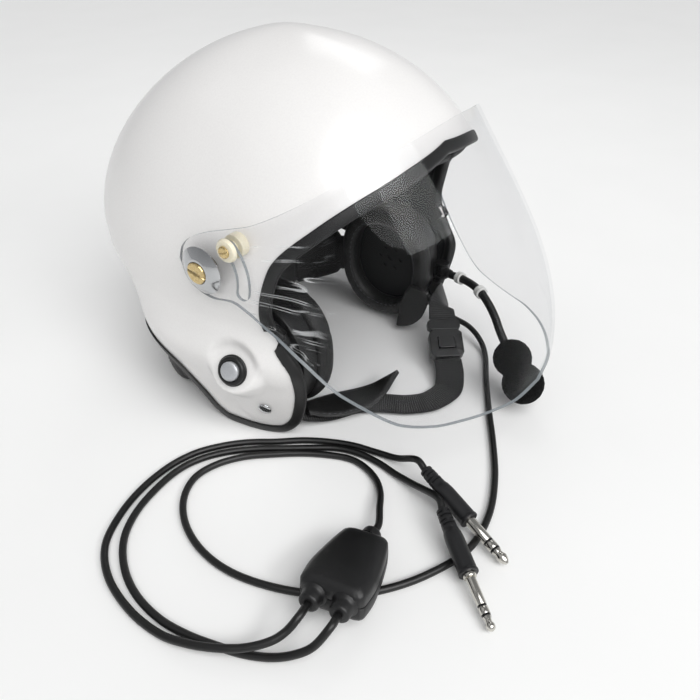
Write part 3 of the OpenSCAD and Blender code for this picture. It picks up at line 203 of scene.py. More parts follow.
# Shell: a hand-laid glass and epoxy open-face shell, 3.5 thick, white gelcoat outside and black inside.
# Its form is made of level sections whose side, front and rear reaches change with height.
def skin(rings, loop=False):
    """Closed surfaces over rings (rings by points, or copies by rings by points), as points and faces.
    Neighbouring rings are joined by quads. The end rings are closed by fans to their middles, or joined to
    each other with loop. Where the volume, the sum of a.(b x c)/6 over its triangles, is negative, it is
    turned."""
    rings = np.asarray(rings, float)
    rings = rings.reshape((-1,) + rings.shape[-3:])
    copies, m, n, _ = rings.shape
    points = rings.reshape(copies, m * n, 3)
    at = np.arange(m * n).reshape(m, n)
    if loop:
        at = np.vstack([at, at[:1]])
    quads = np.stack([at[:-1], np.roll(at[:-1], -1, 1), np.roll(at[1:], -1, 1), at[1:]], -1).reshape(-1, 4)
    tris = np.empty((0, 3), int)
    if not loop:
        points = np.concatenate([points, rings[:, [0, -1]].mean(2)], 1)
        tris = np.vstack([np.stack([np.full(n, m * n), np.roll(at[0], -1), at[0]], -1),
                          np.stack([np.full(n, m * n + 1), at[-1], np.roll(at[-1], -1)], -1)])
    every = np.vstack([quads[:, :3], quads[:, [0, 2, 3]], tris])
    a, b, c = (points[0] - points[0].mean(0))[every].transpose(1, 0, 2)
    if (a * np.cross(b, c)).sum() < 0:
        quads, tris = quads[:, ::-1], tris[:, ::-1]
    step = (np.arange(copies) * points.shape[1])[:, None, None]
    return points.reshape(-1, 3), (quads + step).reshape(-1, 4), (tris + step).reshape(-1, 3)


def piece(name, skins, finish, body, nodes=(), sharp=35, marks=None, extra=None, parts=None):
    """One object of closed surfaces, in metres, smooth but for edges past that angle. It has its finish,
    and an extra one where parts, one number per face, is 1. It stands for its nodes and rides on its body.
    Marks are one vector per point, kept as the attribute named cloth."""
    sizes = np.cumsum([0] + [len(s[0]) for s in skins])
    quads = np.vstack([s[1] + at for s, at in zip(skins, sizes)])
    tris = np.vstack([s[2] + at for s, at in zip(skins, sizes)])
    points = np.vstack([s[0] for s in skins]) * 0.001
    mesh = bpy.data.meshes.new(name)
    mesh.vertices.add(len(points))
    mesh.vertices.foreach_set("co", points.ravel())
    mesh.loops.add(quads.size + tris.size)
    mesh.loops.foreach_set("vertex_index", np.concatenate([quads.ravel(), tris.ravel()]).astype(np.int32))
    mesh.polygons.add(len(quads) + len(tris))
    starts = np.concatenate([np.arange(len(quads)) * 4, quads.size + np.arange(len(tris)) * 3])
    mesh.polygons.foreach_set("loop_start", starts.astype(np.int32))
    mesh.update(calc_edges=True)
    mesh.polygons.foreach_set("use_smooth", np.ones(len(mesh.polygons), bool))
    mesh.set_sharp_from_angle(angle=radians(sharp))
    mesh.materials.append(finish)
    if extra is not None:
        mesh.materials.append(extra)
        mesh.polygons.foreach_set("material_index", np.asarray(parts, np.int32))
    if marks is not None:
        spare = np.zeros((len(points), 3))
        spare[:len(marks)] = marks
        mesh.attributes.new("cloth", "FLOAT_VECTOR", "POINT").data.foreach_set("vector", spare.ravel())
    made = bpy.data.objects.new(name, mesh)
    bpy.context.scene.collection.objects.link(made)
    if body:
        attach(made, body)
    if nodes:
        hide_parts(*nodes)
    return made


def through(xs, ys, x):
    """A cubic through stations that never overshoots: the slope at a station is 2ab/(a+b) of the slopes a
    and b on either side, nought where they differ in sign, and the outermost slopes are those of the first
    and last steps."""
    xs, ys, x = np.asarray(xs, float), np.asarray(ys, float), np.asarray(x, float)
    d = np.diff(ys) / np.diff(xs)
    same = d[:-1] * d[1:] > 0
    slope = np.where(same, 2 * d[:-1] * d[1:] / np.where(same, d[:-1] + d[1:], 1), 0)
    m = np.concatenate([d[:1], slope, d[-1:]])
    i = np.clip(np.searchsorted(xs, x, side="right") - 1, 0, len(xs) - 2)
    h = xs[i + 1] - xs[i]
    t = np.clip((x - xs[i]) / h, 0, 1)
    return ((2 * t**3 - 3 * t**2 + 1) * ys[i] + (t**3 - 2 * t**2 + t) * h * m[i]
            + (3 * t**2 - 2 * t**3) * ys[i + 1] + (t**3 - t**2) * h * m[i + 1])


dome_top, dome_side, dome_front, dome_rear, dome_y, dome_z = 228.4, 109.0, 126.5, 135.0, 25.3, 110.0
shell_wall, low_span = 3.5, 150.0
level = [0, 20, 40, 60, 76, 88, 98, 110]
side_in = [6, 2, -3, -8, -3.5, -0.5, 0, 0]
rear_in = [47, 47, 46, 42, 28, 11, 1, 0]
front_in = [28.5, 23.5, 18.5, 13.5, 9.5, 5.5, 2.5, 0]
pole = np.array([0, cos(radians(50)), sin(radians(50))])
edge_turn = [0, 16, 32, 46.5, 58.5, 61.5, 57.5, 53.5, 52.6, 54.5,
             60.5, 69, 81, 87, 93, 101, 113, 130, 155, 180]
edge_z = [174, 170, 161, 146, 124, 98, 77, 61, 42, 16, 3, 1.3, 1.3, 6, 20, 37, 46, 48, 43, 40]
girdle_turn = [0, 17, 34, 50, 63, 69, 71.5, 73.5, 75.5, 78,
               81, 84.5, 88.5, 92.5, 97, 103, 113, 130, 155, 180]
girdle_z = [190, 187, 178, 164, 148, 134, 125, 118, 113, 110,
            108, 107, 106, 106, 106, 106, 107, 108, 110, 110]


def reach(full, inset, power, h, off):
    """Half size of a level section: the full size less its inset below the girdle, and
    (full - off)(1 - u^power)^(1/power) above it, where u is the height as a share of the dome's."""
    u = np.clip((h - dome_z) / (dome_top - dome_z), 0, 0.99999)
    return np.where(h < dome_z, full - through(level, inset, h) - off,
                    (full - off) * (1 - u**power) ** (1 / power))


def shell_point(turn, h, off):
    """The shell at a turn from straight ahead, a height and a depth below its outer face. The level section
    has r = ((|sin|/side)^2.5 + (|cos|/front or rear)^2.5)^(-1/2.5)."""
    turn, h, off = np.broadcast_arrays(turn, h, off)
    a = reach(dome_side, side_in, 1.75, h, off)
    b = np.where(np.cos(turn) > 0, reach(dome_front, front_in, 2.15, h, off),
                 reach(dome_rear, rear_in, 1.75, h, off))
    r = ((np.abs(np.sin(turn)) / a) ** 2.5 + (np.abs(np.cos(turn)) / b) ** 2.5) ** -0.4
    z = np.where(h < dome_z, h, dome_z + (h - dome_z) / (dome_top - dome_z) * (dome_top - off - dome_z))
    return np.stack([r * np.sin(turn), dome_y - r * np.cos(turn), z], -1)


def side_at(y, z, off=0.0):
    """Half width of the shell's face, seen from the side: side reach times (1 - |y|^2.5)^(1/2.5)."""
    b = reach(dome_front, front_in, 2.15, z, off) if y < dome_y else reach(dome_rear, rear_in, 1.75, z, off)
    return float(reach(dome_side, side_in, 1.75, z, off) * (1 - (abs(y - dome_y) / b) ** 2.5) ** 0.4)


def to_dir(turn, h):
    """A direction on the unit ball for a turn and a height."""
    z = (h - dome_z) / np.where(h > dome_z, dome_top - dome_z, low_span)
    c = np.sqrt(1 - z * z)
    return np.stack([c * np.sin(turn), -c * np.cos(turn), z], -1)


def on_shell(way, off):
    """The shell's point in a direction, at a depth."""
    span = np.where(way[..., 2] > 0, dome_top - dome_z, low_span)
    return shell_point(np.arctan2(way[..., 0], -way[..., 1]), dome_z + way[..., 2] * span, off)


def between(a, b, s):
    """Along the great circle from a to b: (sin((1-s)w) a + sin(sw) b) / sin w, w apart in angle."""
    w = np.arccos(np.clip((a * b).sum(-1), -1, 1))[..., None]
    s = np.asarray(s)[..., None]
    return (np.sin((1 - s) * w) * a + np.sin(s * w) * b) / np.sin(w)


def edge_dir(turns, heights, t):
    """Directions along an edge line, for t from -1 at the back, by the right side and the brow, to 1."""
    k = np.linspace(0, 1, len(turns))
    return to_dir(np.sign(t) * np.radians(through(k, turns, np.abs(t))), through(k, heights, np.abs(t)))


def shell_dir(t, s):
    """From the pole down to the girdle as s goes to 1, and on to the edge as it goes to 2."""
    g = edge_dir(girdle_turn, girdle_z, t)
    edge = edge_dir(edge_turn, edge_z, t)
    g, edge, s = np.broadcast_arrays(g, edge, np.asarray(s)[..., None])
    s = s[..., 0]
    return np.where(s[..., None] <= 1, between(pole, g, s), between(g, edge, s - 1))


button_spot = np.array([-114.2, -8.5, 57])
button_axis = np.array([sin(radians(64)) * cos(radians(190)), sin(radians(64)) * sin(radians(190)),
                        cos(radians(64))])


def flatten(p, off):
    """The wall is drawn onto the button's plane within 14.5 of it, and less and less out to 20."""
    v = p - button_spot
    high = v @ button_axis
    away = np.linalg.norm(v - high[..., None] * button_axis, axis=-1)
    share = np.where((p[..., 0] > 0) | (np.abs(high + off) > 40), 0, 1 - through([14.5, 20], [0, 1], away))
    return p - (share * (high + off))[..., None] * button_axis


def emboss(p):
    """A faint moulded line round the strap's anchor: the wall sinks 0.4 exp(-(distance/1.3)^2) along five
    steps."""
    line = np.array([(2.6, 34), (1.6, 24.5), (-1.2, 14.5), (-8.5, 9), (-17, 9.2), (-26, 10.5)])
    a, b = line[:-1], line[1:]
    q = p[..., 1:][..., None, :]
    along = np.clip(((q - a) * (b - a)).sum(-1) / ((b - a) ** 2).sum(-1), 0, 1)
    near = np.linalg.norm(q - a - along[..., None] * (b - a), axis=-1).min(-1)
    out = np.where(p[..., 0] < -60, 0.4 * np.exp(-(near / 1.3) ** 2), 0)
    return p + out[..., None] * np.array([1.0, 0, 0])


gelcoat, tree, shader, place = begin("polished_gelcoat")
# Gelcoat: a warm white, very finely mottled, under a soft even gloss, with a trace of orange peel
# 3 mm across and faintly dulled patches from handling.
cloud = add(tree, "ShaderNodeTexNoise", {"Vector": place, "Scale": 900.0, "Detail": 2.0})
tone = add(tree, "ShaderNodeMix", {0: cloud.outputs[0], 6: paint("eeedeb"), 7: paint("e6e4e3")},
           data_type="RGBA")
smear = add(tree, "ShaderNodeTexNoise", {"Vector": place, "Scale": 25.0, "Detail": 2.0})
dull = add(tree, "ShaderNodeMapRange", {"Value": smear.outputs[0], "To Min": 0.27, "To Max": 0.3})
peel = add(tree, "ShaderNodeTexNoise", {"Vector": place, "Scale": 300.0, "Detail": 1.0})
wave = add(tree, "ShaderNodeBump", {"Height": peel.outputs[0], "Strength": 0.18, "Distance": 0.00012})
feed(tree, shader, {"Base Color": tone.outputs[2], "Roughness": dull.outputs[0], "Normal": wave.outputs[0],
                    "Coat Weight": 0.35, "Coat Roughness": 0.16})
flock, tree, shader, place = begin("black_flocked_inside")
# Flocked paint inside the shell: dead black with short fibres about 0.6 mm apart and a faint bloom.
fibre = add(tree, "ShaderNodeTexNoise", {"Vector": place, "Scale": 1500.0, "Detail": 2.0})
tone = add(tree, "ShaderNodeMix", {0: fibre.outputs[0], 6: paint("080809"), 7: paint("1c1c1f")},
           data_type="RGBA")
rough = add(tree, "ShaderNodeBump", {"Height": fibre.outputs[0], "Strength": 0.5, "Distance": 0.0003})
feed(tree, shader, {"Base Color": tone.outputs[2], "Roughness": 0.9, "Normal": rough.outputs[0]})
around = np.linspace(-1, 1, 400, endpoint=False)
fine_steps = np.concatenate([np.linspace(0.02, 1, 56), np.linspace(1.018, 2, 56)])
few_steps = np.concatenate([np.linspace(2, 1.1, 22), np.linspace(1, 0.02, 18)])
outer = emboss(flatten(on_shell(shell_dir(around[None, :], fine_steps[:, None]), 0.0), 0.0))
inner = flatten(on_shell(shell_dir(around[None, :], few_steps[:, None]), shell_wall), shell_wall)
# The first 112 rows of quads and the first fan at the pole are outside. The trimmed edge is hidden in the
# bead
inside = np.concatenate([np.repeat(np.arange(151) > 111, 400), np.repeat([0, 1], 400)])
helmet_shell = piece("gelcoat_shell", [skin(np.concatenate([outer, inner]))], gelcoat, "helmet",
                     ["outer_shell"], 60, extra=flock, parts=inside)

# Edge bead: an extruded EPDM channel pushed over the shell's trimmed edge and glued. Its two lips lie
# on the outer and inner faces of the wall, all the way round the opening.
edge_rubber, tree, shader, place = begin("extruded_epdm")
# EPDM: black going grey, a soft wide highlight and fine extrusion grain about 1 mm long.
grain = add(tree, "ShaderNodeTexNoise", {"Vector": place, "Scale": 900.0, "Detail": 3.0})
bloom = add(tree, "ShaderNodeTexNoise", {"Vector": place, "Scale": 40.0, "Detail": 3.0})
tone = add(tree, "ShaderNodeMix", {0: bloom.outputs[0], 6: paint("080808"), 7: paint("151516")},
           data_type="RGBA")
matt = add(tree, "ShaderNodeMapRange", {"Value": bloom.outputs[0], "To Min": 0.34, "To Max": 0.55})
rough = add(tree, "ShaderNodeBump", {"Height": grain.outputs[0], "Strength": 0.4, "Distance": 0.0002})
feed(tree, shader, {"Base Color": tone.outputs[2], "Roughness": matt.outputs[0],
                    "Normal": rough.outputs[0]})


def edge_line(t):
    """The shell's edge, with t taken round once it passes the back."""
    return on_shell(edge_dir(edge_turn, edge_z, (t + 1) % 2 - 1), 0.0)


def unit(v):
    """Vectors divided by their own lengths."""
    return v / np.linalg.norm(v, axis=-1, keepdims=True)


t = np.linspace(-1, 1, 432, endpoint=False)
rim = edge_line(t)
ahead = edge_line(t + 0.004) - edge_line(t - 0.004)
ahead = unit(ahead)
up = on_shell(shell_dir(t, np.full(len(t), 1.95)), 0.0) - rim
up -= (up * ahead).sum(-1, keepdims=True) * ahead
up = unit(up)
# Each section is a channel with a rounded back, in steps along the wall and across it
section = np.array([(5.9, -0.9), (5.4, -1.3), (4.4, -1.4), (2, -1.4), (0.3, -1.3), (-0.8, -0.95),
                    (-1.4, -0.3), (-1.7, 0.7), (-1.7, 2.8),
                    (-1.4, 3.8), (-0.8, 4.45), (0.3, 4.8), (2, 4.9), (4.4, 4.9), (5.4, 4.8), (5.9, 4.4),
                    (5.9, 3.95),
                    (-0.5, 3.95), (-0.5, -0.45), (5.9, -0.45)])
spot = rim[:, None, :] + up[:, None, :] * section[None, :, :1]
beads = shell_point(np.arctan2(spot[..., 0], dome_y - spot[..., 1]), spot[..., 2], section[None, :, 1])
beads[..., 2] = np.maximum(beads[..., 2], 0.0)
piece("edge_bead_channel", [skin(beads, loop=True)], edge_rubber, "helmet", ["edge_bead"],
      70)

# Liner: moulded expanded polystyrene, 20 thick and black, that crushes in a fall. It fills the crown
# inside the shell and stops above the ears.
liner_foam, tree, shader, place = begin("moulded_eps_foam")
# Expanded polystyrene: fused beads about 3 mm across, dull, with dark joints between them.
bead_cells = add(tree, "ShaderNodeTexVoronoi", {"Vector": place, "Scale": 330.0},
                 feature="DISTANCE_TO_EDGE")
joint = add(tree, "ShaderNodeMapRange",
            {"Value": bead_cells.outputs[0], "From Max": 0.12, "To Min": 0.0, "To Max": 1.0})
tone = add(tree, "ShaderNodeMix", {0: joint.outputs[0], 6: paint("101011"), 7: paint("242426")},
           data_type="RGBA")
rough = add(tree, "ShaderNodeBump", {"Height": joint.outputs[0], "Strength": 0.5, "Distance": 0.0004})
feed(tree, shader, {"Base Color": tone.outputs[2], "Roughness": 0.75, "Normal": rough.outputs[0]})
liner_turn = [0, 18, 36, 50, 60, 68, 78, 92, 108, 130, 155, 180]
liner_z = [182, 178, 168, 155, 138, 118, 109, 107, 112, 119, 122, 121]
t = np.linspace(-1, 1, 192, endpoint=False)
liner_edge = edge_dir(liner_turn, liner_z, t)
rows = np.linspace(0.05, 1, 40)
outer = on_shell(between(pole, liner_edge[None], np.broadcast_to(rows[:, None], (40, 192))),
                 shell_wall + 1.2)
inner = on_shell(between(pole, liner_edge[None], np.broadcast_to(rows[::-1, None], (40, 192))),
                 shell_wall + 21.2)
piece("eps_liner", [skin(np.concatenate([outer, inner]))], liner_foam, "helmet", ["impact_liner"])

# Crown lining, brow pad: brushed polyester knit over soft foam, in six gores with sewn channels.
# They press into the liner and can be pulled out to be washed.
lining_fabric, tree, shader, place = begin("brushed_polyester_knit")
# Brushed knit: black with a fine mesh of about 1.6 mm, soft sheen at grazing angles and a slightly
# mottled pile.
mesh_x = add(tree, "ShaderNodeTexWave",
             {"Vector": place, "Scale": 196.0, "Distortion": 1.0, "Detail Scale": 3.0}, bands_direction="X")
mesh_z = add(tree, "ShaderNodeTexWave",
             {"Vector": place, "Scale": 196.0, "Distortion": 1.0, "Detail Scale": 3.0}, bands_direction="Z")
knit = add(tree, "ShaderNodeMath", {0: mesh_x.outputs["Fac"], 1: mesh_z.outputs["Fac"]},
           operation="MULTIPLY")
pile = add(tree, "ShaderNodeTexNoise", {"Vector": place, "Scale": 120.0, "Detail": 5.0, "Roughness": 0.7})
blend = add(tree, "ShaderNodeMath", {0: knit.outputs[0], 1: pile.outputs[0]}, operation="MULTIPLY")
tone = add(tree, "ShaderNodeMix", {0: blend.outputs[0], 6: paint("08080a"), 7: paint("222226")},
           data_type="RGBA")
rough = add(tree, "ShaderNodeBump", {"Height": knit.outputs[0], "Strength": 0.5, "Distance": 0.0004})
feed(tree, shader, {"Base Color": tone.outputs[2], "Roughness": 0.85, "Normal": rough.outputs[0],
                    "Sheen Weight": 0.12, "Sheen Roughness": 0.4})
lining_z = [187, 183, 173, 160, 144, 125, 118, 117, 121, 126, 129, 129]
lining_edge = edge_dir(liner_turn, lining_z, t)
rows = np.linspace(0.06, 1, 80)
gore = np.abs(np.sin(pi * 6 * (t + 1) / 2)) ** 0.35
channel = 1 - 0.3 * np.exp(-((rows[:, None] - np.array([0.38, 0.68])) / 0.012) ** 2).sum(-1)
hem = np.where(rows > 0.97, 0.45 + (1 - rows) * 18, 1)[:, None]
swell = (0.6 + 0.4 * gore[None, :]) * channel[:, None] * hem
outer = on_shell(between(pole, lining_edge[None], np.broadcast_to(rows[:, None], swell.shape)), 25.5)
inner = on_shell(between(pole, lining_edge[None], np.broadcast_to(rows[:, None], swell.shape)),
                 25.5 + 6.5 * swell)[::-1]
lining = piece("quilted_crown_lining", [skin(np.concatenate([outer, inner]))], lining_fabric, "helmet",
               ["crown_lining"], 80)

def full_turn(n):
    """Angles once round: n even steps from 0, with 2 pi itself left out."""
    return np.linspace(0, 2 * pi, n, endpoint=False)


def bent(wave, power):
    """The size of a sine or cosine raised to a power, with its sign kept."""
    return np.sign(wave) * np.abs(wave) ** power


t = np.linspace(-1, 1, 220)
tucks = np.exp(-((t[:, None] - np.arange(-10, 11, 4) / 13) / 0.012) ** 2).sum(-1)
fill = np.maximum(0.12, np.sqrt(1 - np.abs(t) ** 8)) * (1 - 0.16 * tucks)
a = full_turn(48)
lift = bent(np.sin(a), 0.8)
deep = bent(np.cos(a), 0.8)
brow = shell_point(np.radians(49 * t)[:, None],
                   through(np.array([0, 18, 36, 49]) / 49, [174.5, 170, 160.5, 149], np.abs(t))[:, None]
                   + 5.5 * fill[:, None] * lift, 15.2 - 9.6 * fill[:, None] * deep)
brow_cushion = piece("sewn_brow_pad", [skin(brow)], lining_fabric, "helmet", ["brow_pad"],
                     80)

# Neck roll: a foam roll in PVC leatherette round the nape, on which the helmet stands. Seven sewn seams,
# 24 degrees apart, draw it into segments.
leatherette, tree, shader, place = begin("pvc_leatherette")
# Leatherette: embossed PVC on knit, black, pebbles about 1.4 mm across with matt valleys and handled,
# glossier tops.
pebble = add(tree, "ShaderNodeTexVoronoi", {"Vector": place, "Scale": 720.0}, feature="DISTANCE_TO_EDGE")
height = add(tree, "ShaderNodeMapRange", {"Value": pebble.outputs[0], "From Max": 0.25})
wear = add(tree, "ShaderNodeTexNoise", {"Vector": place, "Scale": 55.0, "Detail": 4.0})
tone = add(tree, "ShaderNodeMix", {0: wear.outputs[0], 6: paint("080808"), 7: paint("151515")},
           data_type="RGBA")
matt = add(tree, "ShaderNodeMapRange", {"Value": wear.outputs[0], "To Min": 0.36, "To Max": 0.58})
crease = add(tree, "ShaderNodeTexNoise",
             {"Vector": place, "Scale": 110.0, "Detail": 3.0, "Distortion": 1.2})
soft = add(tree, "ShaderNodeBump", {"Height": crease.outputs[0], "Strength": 0.35, "Distance": 0.0012})
rough = add(tree, "ShaderNodeBump",
            {"Height": height.outputs[0], "Strength": 0.45, "Distance": 0.0003, "Normal": soft.outputs[0]})
feed(tree, shader, {"Base Color": tone.outputs[2], "Roughness": matt.outputs[0],
                    "Normal": rough.outputs[0]})
thread, tree, shader, place = begin("bonded_polyester_thread")
# Bonded thread: dark grey, twisted strands about 0.3 mm apart, their lighter bands a painted highlight where
# the strands catch the light.
# Painted highlight: lighter grey bands along the twist
painted_twist_highlight = add(tree, "ShaderNodeTexWave", {"Vector": place, "Scale": 1000.0, "Distortion": 2.0},
            bands_direction="DIAGONAL")
tone = add(tree, "ShaderNodeMix", {0: painted_twist_highlight.outputs["Fac"], 6: paint("2c2c2e"), 7: paint("55555a")},
           data_type="RGBA")
feed(tree, shader, {"Base Color": tone.outputs[2], "Roughness": 0.5})


def run_of(path):
    """How far along a path each of its points lies: the lengths of its steps, summed."""
    return np.concatenate([[0], np.cumsum(np.linalg.norm(np.diff(path, axis=0), axis=1))])


def stitches(path, out, long=2.8, gap=1.5, thick=0.32):
    """Sewn stitches in a row on a path, as many small capsules: along the path a stitch is long/2 times the
    sine of its turn, its section a circle of the cosine, and it stands half out of the cloth."""
    path, out = np.asarray(path, float), np.asarray(out, float)
    run = run_of(path)
    mid = np.arange(long / 2 + gap, run[-1] - long / 2, long + gap)
    at = np.stack([np.interp(mid, run, path[:, k]) for k in range(3)], -1)
    way = np.stack([np.interp(mid + 0.5, run, path[:, k]) - np.interp(mid - 0.5, run, path[:, k])
                    for k in range(3)], -1)
    way = unit(way)
    up = np.stack([np.interp(mid, run, out[:, k]) for k in range(3)], -1)
    up -= (up * way).sum(-1, keepdims=True) * way
    up = unit(up)
    side = np.cross(way, up)
    lean = np.linspace(-1.35, 1.35, 6)[None, :, None, None]
    turn = full_turn(6)[None, None, :, None]
    spread = lambda v: v[:, None, None, :]
    return skin(spread(at) + spread(way) * np.sin(lean) * long / 2
                + np.cos(lean) * thick * (np.cos(turn) * spread(side) + np.sin(turn) * spread(up)))


t = np.linspace(-1, 1, 260)
seams = -1 + 2 * np.arange(1, 26, 4) / 26
tucks = np.exp(-((t[:, None] - seams) / 0.012) ** 2).sum(-1)
fill = np.maximum(0.15, np.sqrt(1 - np.abs(t) ** 6)) * (1 - 0.12 * tucks)
turn = pi - radians(78) * t
nape = shell_point(turn, 44.0, shell_wall + 0.9)
out = nape - np.array([0, dome_y, 0])
out[:, 2] = 0
out = unit(out)
a = full_turn(64)
roll = nape[:, None] - 11.2 * out[:, None] + 11 * (fill[:, None] * np.cos(a))[..., None] * out[:, None]
roll[..., 2] = np.maximum(0, 26.5 + 29 * fill[:, None] * np.sin(a))
neck = piece("segmented_neck_roll", [skin(roll)], leatherette, "helmet", ["neck_roll"], 80)
inner_seam = roll[8:-8, 36]
outer_seam = roll[8:-8, 60]
piece("neck_roll_stitches", [stitches(inner_seam, -out[8:-8]), stitches(outer_seam, out[8:-8])], thread,
      "helmet")

# Ear cups: moulded ABS housings, open towards the ear, each held on a foot screwed through the shell.
# A speaker sits inside, and a ring cushion of foam in leatherette closes the cup against the head.
moulded_abs, tree, shader, place = begin("moulded_abs")
# Spark-eroded ABS: black, an even fine grain of 0.5 mm, slightly polished where it is rubbed.
spark = add(tree, "ShaderNodeTexNoise", {"Vector": place, "Scale": 1900.0, "Detail": 2.0})
rub = add(tree, "ShaderNodeTexNoise", {"Vector": place, "Scale": 50.0, "Detail": 3.0})
tone = add(tree, "ShaderNodeMix", {0: rub.outputs[0], 6: paint("080808"), 7: paint("131314")},
           data_type="RGBA")
matt = add(tree, "ShaderNodeMapRange", {"Value": rub.outputs[0], "To Min": 0.3, "To Max": 0.5})
rough = add(tree, "ShaderNodeBump", {"Height": spark.outputs[0], "Strength": 0.3, "Distance": 0.0001})
feed(tree, shader, {"Base Color": tone.outputs[2], "Roughness": matt.outputs[0],
                    "Normal": rough.outputs[0]})
cup_y, cup_z, cup_a, cup_b = -7.0, 50.0, 34.0, 40.0


def oval_rings(profile, side, n=120):
    """Rings round an ear cup: each profile entry is an inset from the cup's outline and a distance from the
    middle plane, and the outline is |y/a|^2.3 + |z/b|^2.3 = 1."""
    a = full_turn(n)
    ey = bent(np.cos(a), 2 / 2.3)
    ez = bent(np.sin(a), 2 / 2.3)
    inset, x = np.asarray(profile, float).T[:, :, None]
    return np.stack(np.broadcast_arrays(side * x, cup_y + (cup_a - inset) * ey,
                                        cup_z + (cup_b - inset) * ez), -1)


def turned_rings(profile, at, way, n=96):
    """Rings of a turned piece: each profile entry is a radius and a distance from a place along an axis."""
    way = np.asarray(way, float) / np.linalg.norm(way)
    side = np.cross(way, (0, 0, 1) if abs(way[2]) < 0.9 else (1, 0, 0))
    side /= np.linalg.norm(side)
    r, h = np.asarray(profile, float).T[:, :, None, None]
    a = full_turn(n)[None, :, None]
    return np.asarray(at, float) + h * way + r * (np.cos(a) * side + np.sin(a) * np.cross(way, side))


cup_profile = [(30, 84), (4, 84), (2.6, 83.5), (2.2, 82.5), (2.2, 72.5), (1.9, 72.3), (0.5, 72.3),
               (0.1, 72.6), (0, 73.2), (0, 85.2),
               (0.3, 86), (1.1, 86.4), (4.6, 86.8), (5, 87.3), (5.1, 90.2), (5.6, 91), (6.8, 91.3),
               (30, 91.3)]
foot_end = side_at(9, 41, shell_wall) - 0.5
for side, name in ((-1, "right"), (1, "left")):
    foot = [(6.2, 90.8), (7, 91.6), (7, foot_end - 0.6), (6.4, foot_end)]
    piece(name + "_ear_housing", [skin(oval_rings(cup_profile, side)),
          skin(turned_rings(foot, (0, 16, 48), (side, 0, 0), 48))], moulded_abs, "helmet",
          [name + "_ear_cup"])
    # Ear seal: a ring cushion of foam in leatherette, full in mid band and gathered at nine seams
    n, k = 180, 44
    ring_turn = full_turn(n)
    band_turn = full_turn(k)
    gather = 1 - 0.07 * np.abs(np.cos(4.5 * ring_turn)) ** 30
    u = 6 * bent(np.cos(band_turn), 0.75)
    w = 7.5 * bent(np.sin(band_turn), 0.75)[None, :] * gather[:, None]
    ey = bent(np.cos(ring_turn), 2 / 2.3)[:, None]
    ez = bent(np.sin(ring_turn), 2 / 2.3)[:, None]
    seal = np.stack([side * (64.4 + w), cup_y + (32 + u) * ey + 0 * w, cup_z + (38 + u) * ez + 0 * w], -1)
    cushion = piece(name + "_seal_cushion", [skin(seal, loop=True)], leatherette, "helmet",
                    [name + "_ear_seal"], 80)
    row = np.vstack([seal[:, 30], seal[:1, 30]])
    lean = 0.2 * (row - np.array([0, cup_y, cup_z])) * np.array([0, -0.05, -0.05])
    piece(name + "_seal_stitches", [stitches(row, np.tile([-side, 0.0, 0.0], (n + 1, 1)) + lean)], thread,
          "helmet")

speaker_plastic, tree, shader, place = begin("speaker_mesh_and_ferrite")
# Speaker: a dark moulded basket under a fine grille cloth, woven about 0.8 mm.
weft = add(tree, "ShaderNodeTexChecker",
           {"Vector": place, "Scale": 1250.0, "Color1": paint("070707"), "Color2": paint("151517")})
rough = add(tree, "ShaderNodeBump", {"Height": weft.outputs["Fac"], "Strength": 0.4, "Distance": 0.0002})
feed(tree, shader, {"Base Color": weft.outputs["Color"], "Roughness": 0.6, "Normal": rough.outputs[0]})


def dress(node, finish):
    """A CAD node that keeps its shape gets this finish in each of its material slots."""
    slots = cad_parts[node].material_slots
    for k in range(len(slots)):
        slots[k].link = "OBJECT"
        slots[k].material = finish


dress("right_speaker", speaker_plastic)
dress("left_speaker", speaker_plastic)

# Visor: a bubble blown from 2 mm clear polycarbonate, hard coated, that swings up about its two side
# pivots. Wrinkled leftovers of its protective film cling to the near side, their crests whitened as a painted
# highlight.
visor_clear, tree, shader, place = begin("hard_coated_polycarbonate")
# Clear polycarbonate: nearly invisible, mirroring the lights most at a slant. Film wrinkles about 8 mm apart
# run back along the near side and end before the pivot, with a painted highlight as a whitish line on each
# crest.
split = add(tree, "ShaderNodeSeparateXYZ", {"Vector": place})
flow = add(tree, "ShaderNodeMapping",
           {"Vector": place, "Scale": (0.3, 0.16, 1.0), "Rotation": (-0.1, 0.0, 0.0)})
wrinkle = add(tree, "ShaderNodeTexNoise",
              {"Vector": flow.outputs[0], "Scale": 125.0, "Detail": 0.6, "Distortion": 0.3})
from_mid = add(tree, "ShaderNodeMath", {0: wrinkle.outputs[0], 1: 0.5}, operation="SUBTRACT")
from_mid = add(tree, "ShaderNodeMath", {0: from_mid.outputs[0]}, operation="ABSOLUTE")
# Painted highlight: a narrow whitish band along each wrinkle's crest
painted_crest_highlight = add(tree, "ShaderNodeMapRange",
            {"Value": from_mid.outputs[0], "From Min": 0.024, "From Max": 0.006})
loose = add(tree, "ShaderNodeTexNoise", {"Vector": place, "Scale": 75.0, "Detail": 1.0})
clinging = add(tree, "ShaderNodeMapRange", {"Value": loose.outputs[0], "From Min": 0.44, "From Max": 0.6})
painted_crest_highlight = add(tree, "ShaderNodeMath", {0: painted_crest_highlight.outputs[0], 1: clinging.outputs[0]}, operation="MULTIPLY")
near_x = add(tree, "ShaderNodeMapRange",
             {"Value": split.outputs[0], "From Min": -0.082, "From Max": -0.098},
             interpolation_type="SMOOTHSTEP")
front = add(tree, "ShaderNodeMapRange", {"Value": split.outputs[1], "From Min": -0.078, "From Max": -0.056},
            interpolation_type="SMOOTHSTEP")
lower = add(tree, "ShaderNodeMapRange", {"Value": split.outputs[2], "From Min": 0.153, "From Max": 0.14},
            interpolation_type="SMOOTHSTEP")
